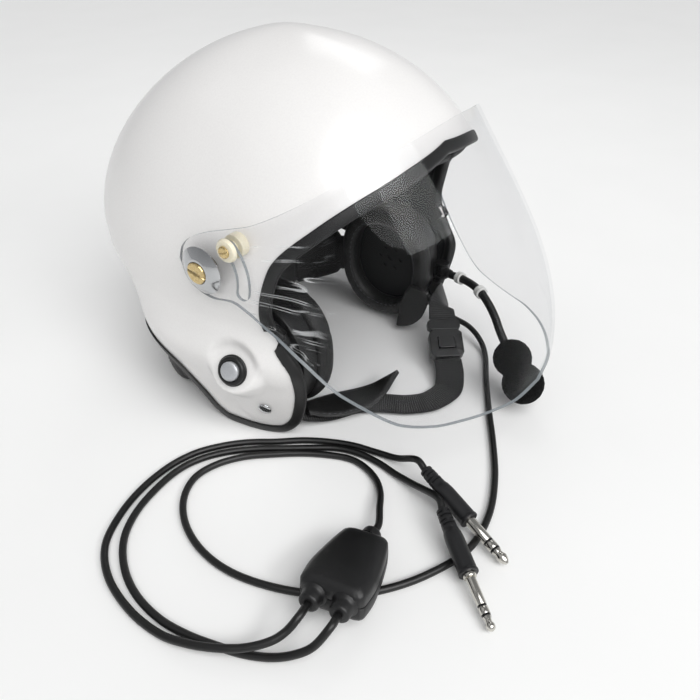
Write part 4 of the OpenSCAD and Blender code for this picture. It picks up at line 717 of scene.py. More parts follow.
rear = add(tree, "ShaderNodeMapRange", {"Value": split.outputs[1], "From Min": -0.018, "From Max": -0.03},
           interpolation_type="SMOOTHSTEP")
area = add(tree, "ShaderNodeMath", {0: near_x.outputs[0], 1: front.outputs[0]}, operation="MULTIPLY")
area = add(tree, "ShaderNodeMath", {0: area.outputs[0], 1: rear.outputs[0]}, operation="MULTIPLY")
area = add(tree, "ShaderNodeMath", {0: area.outputs[0], 1: lower.outputs[0]}, operation="MULTIPLY")
# Where the painted crest highlight goes, the visor mirrors less and is whiter and more opaque
film_crest_highlight = add(tree, "ShaderNodeMath", {0: painted_crest_highlight.outputs[0], 1: area.outputs[0]}, operation="MULTIPLY")
crest_highlight_cover = add(tree, "ShaderNodeMath", {0: film_crest_highlight.outputs[0], 1: 0.45}, operation="MULTIPLY")
slant = add(tree, "ShaderNodeLayerWeight", {"Blend": 0.5})
gloss = add(tree, "ShaderNodeMath", {0: slant.outputs["Facing"], 1: 6.0}, operation="POWER")
cover = add(tree, "ShaderNodeMapRange", {"Value": gloss.outputs[0], "To Min": 0.006, "To Max": 0.32})
total = add(tree, "ShaderNodeMath", {0: cover.outputs[0], 1: crest_highlight_cover.outputs[0]}, operation="ADD",
            use_clamp=True)
mirror = add(tree, "ShaderNodeMath", {0: 1.0, 1: film_crest_highlight.outputs[0]}, operation="SUBTRACT", use_clamp=True)
body_tone = add(tree, "ShaderNodeMix", {0: film_crest_highlight.outputs[0], 6: paint("f2f5f6"), 7: paint("f4f6f7")},
                data_type="RGBA")
film_bump = add(tree, "ShaderNodeMath", {0: wrinkle.outputs[0], 1: area.outputs[0]}, operation="MULTIPLY")
rough = add(tree, "ShaderNodeBump", {"Height": film_bump.outputs[0], "Strength": 0.12, "Distance": 0.002})
feed(tree, shader, {"Base Color": body_tone.outputs[2], "Metallic": mirror.outputs[0], "Roughness": 0.03,
                    "Normal": rough.outputs[0]})
see_through = add(tree, "ShaderNodeBsdfTransparent", {"Color": (0.968, 0.968, 0.97, 1.0)})
both = add(tree, "ShaderNodeMixShader",
           {0: total.outputs[0], 1: see_through.outputs[0], 2: shader.outputs[0]})
feed(tree, tree.nodes["Material Output"], {"Surface": both.outputs[0]})
visor_edge, tree, shader, place = begin("milled_polycarbonate_edge")
# Milled edge: the same plastic seen end on, frosted, with cutter marks about 0.5 mm apart; its grey is partly
# the frosting and partly a painted dark reflection.
marks = add(tree, "ShaderNodeTexNoise", {"Vector": place, "Scale": 1600.0, "Detail": 2.0})
# Painted reflection: the edge's grey is kept dark, besides being frosted
tone = add(tree, "ShaderNodeMix", {0: marks.outputs[0], 6: paint("5a6165"), 7: paint("a3aaae")},
           data_type="RGBA")
feed(tree, shader, {"Base Color": tone.outputs[2], "Roughness": 0.3, "IOR": 1.58, "Alpha": 0.85})
upper_x = [0, 20, 40, 60, 78, 92, 102, 108.5, 112, 113.2, 113.2, 113.2, 113.2, 113.2]
upper_y = [-88, -87, -82, -73, -61.5, -49, -38, -26, -13, -1, 8, 16, 21.5, 24]
upper_z = [195, 194, 190, 183.5, 175, 166.5, 160, 154.5, 150.5, 146.5, 142.5, 137.5, 131, 124]
lower_x = [0, 24, 45, 62, 75, 85, 92.5, 100, 106.2, 111, 113.2, 113.2, 113.2, 113.2]
lower_y = [-160.5, -157.5, -149, -138, -126, -110, -75, -50, -34, -23, -12, 2, 14, 21.5]
lower_z = [42, 42, 42, 41.5, 40.5, 40.5, 50, 71, 89, 101, 106, 104, 107, 114.5]
bulge = [14, 14, 13.5, 12.5, 11, 9, 6.5, 4, 1.5, 0, 0, 0, 0, 0]
bulge_turn = [0, 10, 26, 42, 58, 72, 82, 88, 90, 90, 90, 90, 90, 90]
pivot_y, pivot_z, visor_half, visor_thick = 7.0, 121.0, 113.2, 2.0


def visor_point(u, v):
    """The visor's outer face, u across from -1 to 1 and v down from 0 to 1: the straight line between its
    upper and lower edges plus a bulge b 4v(1-v)(1+(2v-1)/2). Within 38 of the pivot it is a shallow dish,
    x = 113.2 - 0.0055 (far-18)^2."""
    a = np.abs(u) * 13
    k = np.arange(14)
    up = np.stack([through(k, upper_x, a), through(k, upper_y, a), through(k, upper_z, a)], -1)
    low = np.stack([through(k, lower_x, a), through(k, lower_y, a), through(k, lower_z, a)], -1)
    b = through(k, bulge, a) * 4 * v * (1 - v) * (1 + 0.5 * (2 * v - 1))
    turn = np.radians(through(k, bulge_turn, a))
    way = np.stack([np.sin(turn), -np.cos(turn), 0.12 * np.cos(turn)], -1)
    p = up + (low - up) * v[..., None] + b[..., None] * way
    far = np.hypot(p[..., 1] - pivot_y, p[..., 2] - pivot_z)
    near = np.where(a < 5, 0, 1 - through([38, 58], [0, 1], far))
    p[..., 0] = np.sign(u) * (p[..., 0] * (1 - near) + near
                              * (visor_half - 0.0055 * np.maximum(0, far - 18) ** 2))
    return p


u, v = np.meshgrid(np.linspace(-1, 1, 261), np.linspace(0, 1, 49), indexing="ij")
u = np.where(np.abs(u) < 1e-9, 1e-6, u)
face = visor_point(u, v)
normal = np.cross(np.gradient(face, axis=0), np.gradient(face, axis=1))
normal = unit(normal)
if normal[130, 24, 1] < 0:
    normal = -normal
rings = np.concatenate([face, (face + visor_thick * normal)[:, ::-1]], 1)
visor_skin = skin(rings)
# The quads that join the two faces along the upper and lower edges are milled edge
edge_part = np.zeros((260, 98), int)
edge_part[:, [48, 97]] = 1
bubble = piece("bubble_visor", [visor_skin], visor_clear, None, sharp=50, extra=visor_edge,
               parts=np.concatenate([edge_part.ravel(), np.ones(196, int)]))


def carve(made, skins, parts=0):
    """Cuts closed surfaces out of a piece with an exact boolean and keeps the result as its own mesh."""
    tool = piece(made.name + "_tool", skins, made.data.materials[0], None)
    if parts:
        tool.data.materials.append(made.data.materials[parts])
        tool.data.polygons.foreach_set("material_index", np.full(len(tool.data.polygons), parts, np.int32))
    cut = made.modifiers.new("cut", "BOOLEAN")
    cut.object, cut.operation, cut.solver = tool, "DIFFERENCE", "EXACT"
    result = bpy.data.meshes.new_from_object(made.evaluated_get(bpy.context.evaluated_depsgraph_get()))
    made.modifiers.clear()
    made.data = result
    bpy.data.objects.remove(tool)


def arc_slot(r, half, start, swing, side, x1, x2, n=64):
    """A curved slot about the pivot: arcs of radius r - half and r + half, round ends, carried along X."""
    a = np.linspace(start, start + swing, n)
    end = np.linspace(0, pi, 16)[1:-1]
    outer = np.stack([(r + half) * np.cos(a), (r + half) * np.sin(a)], -1)
    inner = np.stack([(r - half) * np.cos(a[::-1]), (r - half) * np.sin(a[::-1])], -1)
    last = np.stack([r * np.cos(a[-1]) + half * np.cos(a[-1] + end),
                     r * np.sin(a[-1]) + half * np.sin(a[-1] + end)], -1)
    first = np.stack([r * np.cos(a[0]) + half * np.cos(a[0] + pi + end),
                      r * np.sin(a[0]) + half * np.sin(a[0] + pi + end)], -1)
    line = np.concatenate([outer, last, inner, first])
    return np.stack([np.stack([np.full(len(line), side * x), pivot_y + line[:, 0], pivot_z + line[:, 1]],
                              -1) for x in (x1, x2)])


slot_r, slot_half, stop_angle = 29, 3.85, 41
holes = []
for side in (-1, 1):
    holes.append(skin(turned_rings([(5.05, 104), (5.05, 119)], (0, pivot_y, pivot_z), (side, 0, 0), 64)))
    holes.append(skin(arc_slot(slot_r, slot_half, radians(180 - stop_angle - 1), radians(57), side,
                               104, 119)))
carve(bubble, holes, 1)
bubble.data.polygons.foreach_set("use_smooth", np.ones(len(bubble.data.polygons), bool))
bubble.data.set_sharp_from_angle(angle=radians(40))
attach(bubble, "visor")
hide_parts("visor")

# Visor pivots, one on each side: a rubber spacer, a polished conical washer and a brass shoulder screw
# with a driver slot, held by a flanged steel nut inside the shell.
polished_steel, tree, shader, place = begin("polished_stainless_steel")
# Polished stainless steel: bright, with turning marks about 0.4 mm apart and faint smears.
lathe_marks = add(tree, "ShaderNodeTexNoise",
                  {"Vector": place, "Scale": 700.0, "Detail": 4.0, "Roughness": 0.7})
smears = add(tree, "ShaderNodeTexNoise", {"Vector": place, "Scale": 90.0, "Detail": 3.0})
shine = add(tree, "ShaderNodeMapRange", {"Value": smears.outputs[0], "To Min": 0.07, "To Max": 0.17})
rough = add(tree, "ShaderNodeBump",
            {"Height": lathe_marks.outputs[0], "Strength": 0.12, "Distance": 0.0001})
tone = add(tree, "ShaderNodeMix", {0: smears.outputs[0], 6: paint("cfd0d1"), 7: paint("aeb0b2")},
           data_type="RGBA")
feed(tree, shader, {"Base Color": tone.outputs[2], "Metallic": 1.0, "Roughness": shine.outputs[0],
                    "Normal": rough.outputs[0]})
turned_brass, tree, shader, place = begin("turned_brass")
# Turned brass: pale yellow with a slightly browner tarnish in small spots.
tarnish = add(tree, "ShaderNodeTexNoise", {"Vector": place, "Scale": 600.0, "Detail": 3.0})
stain = add(tree, "ShaderNodeMapRange", {"Value": tarnish.outputs[0], "From Min": 0.45, "From Max": 0.9})
tone = add(tree, "ShaderNodeMix", {0: stain.outputs[0], 6: paint("d3bd8c"), 7: paint("b39a66")},
           data_type="RGBA")
shine = add(tree, "ShaderNodeMapRange", {"Value": tarnish.outputs[0], "To Min": 0.16, "To Max": 0.4})
feed(tree, shader, {"Base Color": tone.outputs[2], "Metallic": 1.0, "Roughness": shine.outputs[0]})
zinc_steel, tree, shader, place = begin("zinc_plated_steel")
# Zinc plate: pale grey crystals about 1 mm across, half matt.
spangle = add(tree, "ShaderNodeTexVoronoi", {"Vector": place, "Scale": 900.0})
tone = add(tree, "ShaderNodeMix", {0: spangle.outputs["Distance"], 6: paint("c2c4c0"), 7: paint("9fa19e")},
           data_type="RGBA")
feed(tree, shader, {"Base Color": tone.outputs[2], "Metallic": 1.0, "Roughness": 0.36})
spacer_x = side_at(pivot_y, pivot_z - 9) + 0.25
screw = [(2, 100), (5, 100), (5, 116.25), (6.1, 116.25), (6.5, 116.6), (6.5, 118.15), (6.25, 118.65),
         (5.6, 118.9), (4.6, 118.95), (2, 118.95)]
washer = [(5.2, 113.55), (13.9, 113.55), (14.5, 113.8), (14.5, 114.2), (14.2, 114.5), (8.4, 117.65),
          (8.0, 117.75), (6.9, 117.75), (6.72, 117.5), (6.72, 116.2), (5.2, 116.2)]
spacer = [(5.2, spacer_x), (8.6, spacer_x), (9, spacer_x + 0.4), (9, 110.5), (8.6, 110.85), (5.2, 110.85)]
inner_face = side_at(pivot_y - 7, pivot_z + 7, shell_wall) - 0.6
nut = [(5.1, 98.5), (6.4, 98.5), (7, 99.1), (7, inner_face - 1.6), (8, inner_face - 1.6), (8, inner_face),
       (5.1, inner_face)]
bores = {name: [skin(turned_rings(profile, (0, pivot_y, pivot_z), (side, 0, 0), 128), loop=name != "screw")
                for side in (-1, 1)]
         for name, profile in (("screw", screw), ("washer", washer), ("spacer", spacer), ("nut", nut))}
piece("rubber_pivot_spacers", bores["spacer"], edge_rubber, "helmet", ["pivot_spacers"])
piece("conical_washers", bores["washer"], polished_steel, "helmet", ["pivot_washers"], 30)
piece("flanged_nuts", bores["nut"], zinc_steel, "helmet", ["pivot_nuts"])
shoulder = piece("shoulder_screws", bores["screw"], turned_brass, "helmet", ["pivot_screws"])


def bar(x1, x2, y, z, long, high, lean):
    """A driver slot to cut: a bar across a screw head, leant from level."""
    c, s = cos(radians(lean)), sin(radians(lean))
    corner = np.array([(long, high), (-long, high), (-long, -high), (long, -high)]) / 2
    line = np.stack([y + c * corner[:, 0] - s * corner[:, 1], z + s * corner[:, 0] + c * corner[:, 1]], -1)
    return np.stack([np.column_stack([np.full(4, x), line]) for x in (x1, x2)])


carve(shoulder, [skin(bar(side * 117.75, side * 124, pivot_y, pivot_z, 15, 1.4, 12)) for side in (-1, 1)])

# Visor stops: a turned nylon bush whose shank runs in the visor's curved slot, a nylon washer and a
# small brass screw, on each side.
nylon, tree, shader, place = begin("turned_natural_nylon")
# Natural nylon: cream, waxy and slightly see-through, with turning rings about 0.3 mm apart.
rings_seen = add(tree, "ShaderNodeTexNoise", {"Vector": place, "Scale": 1200.0, "Detail": 2.0})
tone = add(tree, "ShaderNodeMix", {0: rings_seen.outputs[0], 6: paint("efe9d6"), 7: paint("ddd4b9")},
           data_type="RGBA")
rough = add(tree, "ShaderNodeBump", {"Height": rings_seen.outputs[0], "Strength": 0.2, "Distance": 0.0001})
feed(tree, shader, {"Base Color": tone.outputs[2], "Roughness": 0.42, "Normal": rough.outputs[0],
                    "Subsurface Weight": 0.15,
                    "Subsurface Radius": (0.002, 0.0015, 0.001)})
stop_y = pivot_y - slot_r * cos(radians(stop_angle))
stop_z = pivot_z + slot_r * sin(radians(stop_angle))
bush_r = 6.85
stop_start = side_at(stop_y, stop_z - bush_r) + 0.45
stop_face = 111.2 - 0.0055 * (slot_r + bush_r - 18) ** 2 - 0.5
bush = [(2.2, stop_start), (6.4, stop_start), (bush_r, stop_start + 0.4), (bush_r, stop_face - 0.3),
        (6.6, stop_face), (3.5, stop_face), (3.5, 113.3), (3.4, 113.4), (2.2, 113.4)]
stop_washer = [(2.2, 113.5), (6.6, 113.5), (6.85, 113.75), (6.7, 114.8), (6.1, 115.8), (5.6, 116),
               (2.2, 116)]
stop_screw = [(1, 90), (2.1, 90.6), (2.1, 116.1), (3.2, 116.1), (3.5, 116.4), (3.45, 117.2), (2.9, 117.75),
              (1.2, 117.9)]
at_stop = {name: [skin(turned_rings(profile, (0, stop_y, stop_z), (side, 0, 0), 96), loop=name != "screw")
                  for side in (-1, 1)]
           for name, profile in (("bush", bush), ("washer", stop_washer), ("screw", stop_screw))}
piece("nylon_stop_bushes", at_stop["bush"], nylon, "helmet", ["stop_spacers"])
piece("nylon_stop_washers", at_stop["washer"], nylon, "helmet", ["stop_washers"])
small_screws = piece("slotted_stop_screws", at_stop["screw"], turned_brass, "helmet",
                     ["stop_screws"])
carve(small_screws, [skin(bar(side * 117.1, side * 120, stop_y, stop_z, 9, 0.9, -25)) for side in (-1, 1)])

# Push button on the right ear bulge: a black ring screwed into the shell from outside with a satin
# metal cap that presses a small switch behind it.
satin_cap, tree, shader, place = begin("satin_chromed_cap")
# Satin chrome on zinc: even pale grey, softly blurred highlights and fine scratches from thumbs.
scratch = add(tree, "ShaderNodeTexNoise",
              {"Vector": place, "Scale": 1100.0, "Detail": 3.0, "Roughness": 0.7})
tone = add(tree, "ShaderNodeMix", {0: scratch.outputs[0], 6: paint("c4c6c9"), 7: paint("a9abae")},
           data_type="RGBA")
shine = add(tree, "ShaderNodeMapRange", {"Value": scratch.outputs[0], "To Min": 0.3, "To Max": 0.48})
feed(tree, shader, {"Base Color": tone.outputs[2], "Metallic": 0.45, "Roughness": shine.outputs[0]})
bezel = [(6.05, -14), (6.8, -14), (6.8, 0.15), (9.7, 0.15), (9.9, 0.4), (9.9, 1.1), (9.6, 1.5), (9.2, 1.6),
         (9.1, 2.2), (8.7, 3.1), (8.2, 3.5), (7.4, 3.6), (6.6, 3.4), (6.1, 3.0), (6.05, 2.4)]
carve(helmet_shell, [skin(turned_rings([(2, -20), (7, -20), (7, 20), (2, 20)], button_spot, button_axis,
                                       128))], 1)
piece("threaded_button_ring", [skin(turned_rings(bezel, button_spot, button_axis, 128), loop=True)],
      moulded_abs, "helmet", ["button_ring"], 40)
cap = [(2, -2.4), (5.8, -2.4), (6, -2.2)]
cap += [(6 * cos(k) ** 0.7, 4.3 + 1.7 * sin(k)) for k in np.linspace(0, 1.45, 14)]
piece("satin_button_cap", [skin(turned_rings(cap, button_spot, button_axis, 96))], satin_cap, "button",
      ["button_cap"], 50)
dress("button_switch", moulded_abs)

# Strap rivets: polished steel caps on the ear bulges, one on each side, that hold the chin strap. Each
# is turned in one piece with a shank that reaches 5 in, through the wall and the webbing.
for_rivets = []
for side in (-1, 1):
    way = np.array([1, (side_at(-23, 25) - side_at(-19, 25)) / 4,
                    (side_at(-21, 23) - side_at(-21, 27)) / 4])
    way /= np.linalg.norm(way)
    rivet = [(1, -5), (2, -4.7), (2, 0.9), (4.2, 0.9), (4.5, 1.15)]
    rivet += [(4.5 * cos(k) ** 0.8, 1.2 + 1.1 * sin(k)) for k in np.linspace(0.1, 1.45, 12)]
    for_rivets.append(skin(turned_rings(rivet, np.array([side * side_at(-21, 25), -21, 25]),
                                        way * np.array([side, 1, 1]), 72)))
piece("capped_rivets", for_rivets, polished_steel, "helmet", ["strap_rivets"], 40)

# Chin strap: 20 mm woven polyester webbing, 1.6 thick, riveted to the ear bulges, with leaf-shaped
# padded tabs of leatherette that keep it off the neck, and a plastic press buckle.
webbing, tree, shader, place = begin("woven_polyester_webbing")
# Webbing: black, ribs across it every 1.5 mm with a herringbone of warp threads 0.9 mm wide, slightly
# shiny.
cloth = add(tree, "ShaderNodeAttribute", attribute_name="cloth").outputs["Vector"]
ribs = add(tree, "ShaderNodeTexWave", {"Vector": cloth, "Scale": 0.21, "Distortion": 0.4},
           bands_direction="Y")
warp = add(tree, "ShaderNodeTexWave", {"Vector": cloth, "Scale": 0.35, "Distortion": 0.6},
           bands_direction="X")
weave = add(tree, "ShaderNodeMath", {0: ribs.outputs["Fac"], 1: warp.outputs["Fac"]}, operation="MULTIPLY")
tone = add(tree, "ShaderNodeMix", {0: weave.outputs[0], 6: paint("060606"), 7: paint("1e1e20")},
           data_type="RGBA")
rough = add(tree, "ShaderNodeBump", {"Height": weave.outputs[0], "Strength": 0.7, "Distance": 0.0005})
feed(tree, shader, {"Base Color": tone.outputs[2], "Roughness": 0.6, "Normal": rough.outputs[0],
                    "Sheen Weight": 0.25, "Sheen Roughness": 0.4})


def band(stations, thick, fine=14, round_off=5.0, n=40, full=0.0):
    """Rings of a flat band along stations of a place, the direction of its width and its half width. Its
    section is |x/half|^p + |y/(thick/2)|^2 = 1, and full adds a crown across the width. Also the place on
    the cloth, in mm."""
    p, w, h = (np.array([s[k] for s in stations], float) for k in range(3))
    k = np.arange(len(p))
    s = np.linspace(0, len(p) - 1, (len(p) - 1) * fine + 1)
    path = np.stack([through(k, p[:, j], s) for j in range(3)], -1)
    side = np.stack([through(k, w[:, j], s) for j in range(3)], -1)
    half = through(k, h, s)[:, None]
    way = np.gradient(path, axis=0)
    way = unit(way)
    side -= (side * way).sum(-1, keepdims=True) * way
    side = unit(side)
    up = np.cross(way, side)
    a = full_turn(n)
    x = bent(np.cos(a), 2 / round_off)
    y = bent(np.sin(a), 1 / (1 + full))
    rings = (path[:, None] + (half * x)[..., None] * side[:, None]
             + (thick / 2 * y)[None, :, None] * up[:, None])
    run = run_of(path)
    marks = np.stack(np.broadcast_arrays(half * x, run[:, None], 0 * x[None]), -1).reshape(-1, 3)
    return rings, marks, path, side, up


buckle_rise, buckle_turn = radians(28), radians(38)
buckle_at = np.array([33.0, -79, 19])
buckle_dir = np.array([cos(buckle_rise) * cos(buckle_turn), cos(buckle_rise) * sin(buckle_turn),
                       sin(buckle_rise)])
buckle_side = np.array([-sin(buckle_turn), cos(buckle_turn), 0])
right_route = [((-97, -19, 33), (-0.3, 1, 0), 7.5), ((-95.4, -19, 24), (-0.3, 1, 0), 7.5),
               ((-92.6, -20, 15), (-0.3, 1, 0), 7.5), ((-85, -21.5, 9.2), (-0.25, 1, 0), 7.2),
               ((-79.5, -27.5, 6.6), (0.1, 1, 0), 8), ((-71, -35, 4.4), (0.35, 0.93, 0), 9.5),
               ((-61, -42.5, 3.2), (0.5, 0.87, 0), 10), ((-46, -52, 3), (0.6, 0.8, 0), 10),
               ((-35, -66, 2.8), (0.8, 0.6, 0), 10), ((-26, -82, 2.8), (0.8, 0.6, 0), 10),
               ((-13, -94, 3), (0.5, 0.87, 0), 10), ((2, -98, 4), (0, 1, 0), 10),
               ((13, -94, 8), (-0.4, 0.9, 0), 10),
               (tuple(buckle_at - 13.6 * buckle_dir), tuple(buckle_side), 10)]
left_route = [(tuple(buckle_at + 19.6 * buckle_dir), tuple(buckle_side), 10),
              ((53.5, -63.5, 34), (-0.7, 0.6, 0.2), 10), ((61, -60, 35), (-0.4, 0.4, 0.8), 10),
              ((73, -56, 32), (-0.2, 0.3, 1), 9.5), ((82, -48.5, 27.5), (0, 0.2, 1), 7.5),
              ((84.2, -42.6, 26.6), (0.2, 0.1, 1), 6), ((87.8, -36.9, 26.6), (0.3, 0, 1), 5.6),
              ((92.6, -30.6, 25.4), (0.35, 0, 1), 6.2), ((95.5, -24, 25.6), (0.35, 0, 1), 7),
              ((96.8, -14, 26), (0.35, 0, 1), 7.5)]
for name, route in (("right_strap", right_route), ("left_strap", left_route)):
    rings, marks, path, side, up = band(route, 1.6, round_off=8.0)
    piece("woven_" + name, [skin(rings)], webbing, "helmet", [name], 60, marks=marks)
right_leaf = [((-76, -33, 10.8), (0.35, 0.93, 0), 7), ((-66, -39.5, 8.4), (0.45, 0.89, 0), 11),
              ((-55, -47, 7.2), (0.55, 0.83, 0), 12.5), ((-42, -56, 7.6), (0.55, 0.83, 0), 11.5),
              ((-31, -61, 10), (0.5, 0.85, 0), 8), ((-20, -64, 13.5), (0.5, 0.85, 0), 4),
              ((-13, -66, 16), (0.5, 0.85, 0), 1.2)]
left_leaf = [((54.6, -42, 42), (0, 1, 0), 7), ((54.8, -41, 33), (0, 1, 0.1), 10.5),
             ((54.4, -38, 23), (0, 1, 0.2), 10.5), ((53.5, -34, 14), (0, 1, 0.3), 8),
             ((52, -30, 8), (0, 1, 0.3), 4), ((51, -28, 5.5), (0, 1, 0.3), 1.2)]
for name, leaf, thick in (("right_strap_tab", right_leaf, 5.0), ("left_strap_tab", left_leaf, 4.0)):
    rings, marks, path, side, up = band(leaf, thick, fine=20, round_off=2.2, n=56, full=0.3)
    # The pad pulls in to a flat hem 2.4 mm wide all round, where stitches hold its two skins together
    across = ((rings - path[:, None]) * side[:, None]).sum(-1)
    half = np.abs(across).max(-1, keepdims=True)
    pinch = 0.35 + 0.65 * np.clip((half - np.abs(across)) / 2.8, 0, 1) ** 0.5
    high = ((rings - path[:, None]) * up[:, None]).sum(-1)
    rings = rings + ((pinch - 1) * high)[..., None] * up[:, None]
    tab = piece("padded_" + name, [skin(rings)], leatherette, "helmet", [name], 80)
    rows = []
    for flip in (-1, 1):
        for face_side in (-1, 1):
            line = path + side * (half - 1.9) * flip + up * face_side * thick / 2 * 0.52
            rows.append(stitches(line[6:-12], up[6:-12] * face_side, 2.4, 1.3, 0.28))
    piece(name + "_stitches", rows, thread, "helmet")


def ease(node, width, finish):
    """A CAD node that keeps its shape: its corners are rounded by this width in mm, and it gets its
    finish."""
    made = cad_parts[node]
    made.modifiers.new("merge", "WELD").merge_threshold = 0.00001
    bevel = made.modifiers.new("round", "BEVEL")
    bevel.width, bevel.segments, bevel.limit_method, bevel.angle_limit = width / 1000, 2, "ANGLE", radians(40)
    bevel.harden_normals = False
    dress(node, finish)


ease("buckle_housing", 0.5, moulded_abs)
ease("buckle_tongue", 0.5, moulded_abs)
ease("buckle_button", 0.4, moulded_abs)

# Microphone boom: an ABS fork on the left cup, a knuckle that turns on its pin, a flexible stem of
# plastic-covered steel coil with two clear clips, and a two-lobed foam muff over the capsule.
ease("boom_bracket", 0.35, moulded_abs)
hub = np.array([84.4, -47.5, 46.0])
knuckle_way = np.array([-9.9 * sin(radians(24)), -9.9 * cos(radians(24)), 0]) / 9.9
knuckle = [(2.06, -4), (3.9, -4), (4.2, -3.7), (4.2, 3.7), (3.9, 4), (2.06, 4)]
collar = [(1, 3.0), (3.4, 3.2), (3.4, 8.4), (3.1, 9), (1, 9)]
piece("swivel_knuckle", [skin(turned_rings(knuckle, hub, (0, 0, 1), 64), loop=True),
                         skin(turned_rings(collar, hub, knuckle_way, 48))],
      moulded_abs, "boom", ["boom_knuckle"])
stem_route = np.array([hub + 9.9 * knuckle_way, (76.8, -66, 48), (70.4, -78, 50), (63, -89, 50.5),
                       (54, -100, 48.5), (46, -109, 45), (39, -116.5, 40), (30.7, -126, 34.9)])


def tube_rings(path, radius, n=24):
    """Rings of radius r(s) square to a path: the first side of each ring is square to both the path and Z."""
    way = np.gradient(path, axis=0)
    way = unit(way)
    side = np.cross(way, (0, 0, 1))
    side = unit(side)
    up = np.cross(side, way)
    a = full_turn(n)[None, :, None]
    return path[:, None] + radius[:, None, None] * (np.cos(a) * side[:, None] + np.sin(a) * up[:, None])


stem_path = curve_of(stem_route, 90)
run = run_of(stem_path)
coil = 2.95 - 0.22 * (0.5 + 0.5 * np.cos(2 * pi * run / 1.7)) ** 2
piece("coiled_stem", [skin(tube_rings(stem_path, coil))], cord_sheath, "boom", ["boom_stem"],
      60)
clear_clip, tree, shader, place = begin("natural_polyethylene_clip")
# Natural polyethylene: milky, waxy and a little see-through, with faint cloudy streaks.
milky = add(tree, "ShaderNodeTexNoise", {"Vector": place, "Scale": 500.0, "Detail": 2.0})
tone = add(tree, "ShaderNodeMix", {0: milky.outputs[0], 6: paint("e2e2de"), 7: paint("c9cac8")},
           data_type="RGBA")
feed(tree, shader, {"Base Color": tone.outputs[2], "Roughness": 0.28, "Subsurface Weight": 0.2,
                    "Subsurface Radius": (0.002, 0.002, 0.002)})
clip = [(3.15, -2.5), (4.3, -2.5), (4.6, -2.2), (4.6, -0.5), (4.35, -0.2), (4.35, 0.2), (4.6, 0.5),
        (4.6, 2.2), (4.3, 2.5), (3.15, 2.5)]
piece("stem_clips", [skin(turned_rings(clip, stem_route[k], stem_route[k + 1] - stem_route[k - 1], 64),
                          loop=True) for k in (1, 3)],
      clear_clip, "boom", ["boom_rings"])
dress("mic_capsule", speaker_plastic)
open_foam, tree, shader, place = begin("open_cell_foam")
# Open-cell foam: black, pores about 0.8 mm across, each darkened with painted shade, no shine.
pores = add(tree, "ShaderNodeTexVoronoi", {"Vector": place, "Scale": 1150.0})
# Painted shade: the foam is darker towards the middle of each pore
painted_pore_shade = add(tree, "ShaderNodeMapRange",
           {"Value": pores.outputs["Distance"], "From Min": 0.1, "From Max": 0.6,
            "To Min": 1.0, "To Max": 0.0})
tone = add(tree, "ShaderNodeMix", {0: painted_pore_shade.outputs[0], 6: paint("101010"), 7: paint("020202")},
           data_type="RGBA")
rough = add(tree, "ShaderNodeBump",
            {"Height": pores.outputs["Distance"], "Strength": 1.0, "Distance": 0.0012})
feed(tree, shader, {"Base Color": tone.outputs[2], "Roughness": 1.0, "Specular IOR Level": 0.15,
                    "Normal": rough.outputs[0]})
muff_1, muff_2 = np.array([25.0, -133, 32]), np.array([16.0, -146, 22])
muff_span = float(np.linalg.norm(muff_2 - muff_1))
# The two lobes, of radius 13 and 14, are two circles of revolution about the line between their centres,
# and the waist between them is filled by a circle-like blend: r = (r1^p + r2^p)^(1/p) with p = 14.
s = np.concatenate([muff_span / 2 - (muff_span / 2 + 13) * np.cos(np.linspace(0.06, pi / 2, 50)),
                    muff_span / 2 + (muff_span / 2 + 14) * np.sin(np.linspace(0.02, pi / 2 - 0.06, 50))])
lobe_1 = np.sqrt(np.maximum(13.0**2 - s**2, 0))
lobe_2 = np.sqrt(np.maximum(14.0**2 - (s - muff_span) ** 2, 0))
fair = (lobe_1**14 + lobe_2**14) ** (1 / 14)
grow = 0.12 * np.sin(s * 1.9) + 0.1 * np.sin(s * 4.7 + 1)
muff_rings = turned_rings(np.column_stack([np.maximum(fair + grow * (fair > 4), 0.4), s]), muff_1,
                          muff_2 - muff_1, 120)
muff = piece("foam_muff", [skin(muff_rings)], open_foam, "boom", ["mic_muff"], 80)

# Cord clamp on the left cup: a moulded PVC strain relief, tapering to the main cord. Five steps along
# it let it bend where the cord leaves.
relief_at, relief_dir = np.array([79, -35.7, 23.4]), np.array([-0.0873, -0.8729, -0.4801])
relief = [(2, 0), (4.3, 0), (4.6, 0.3), (4.6, 1.2), (4.3, 1.5), (4.0, 1.6)]
for k in range(5):
    at, r = 2.0 + 2.2 * k, 3.95 - 0.22 * k
    relief += [(r, at), (r, at + 1.2), (r - 0.55, at + 1.4), (r - 0.55, at + 2.0)]
relief += [(2.9, 12.6), (2.6, 13), (2.1, 13)]
piece("stepped_cord_clamp", [skin(turned_rings(relief, relief_at, relief_dir, 56))], cord_sheath, "helmet",
      ["cord_relief"], 40)

# Junction box: two glass-filled nylon halves screwed together round a small circuit board, with a
# moulded boss where each cord goes in. The lid is slightly crowned and its long sides slope.
box_plastic, tree, shader, place = begin("glass_filled_nylon")
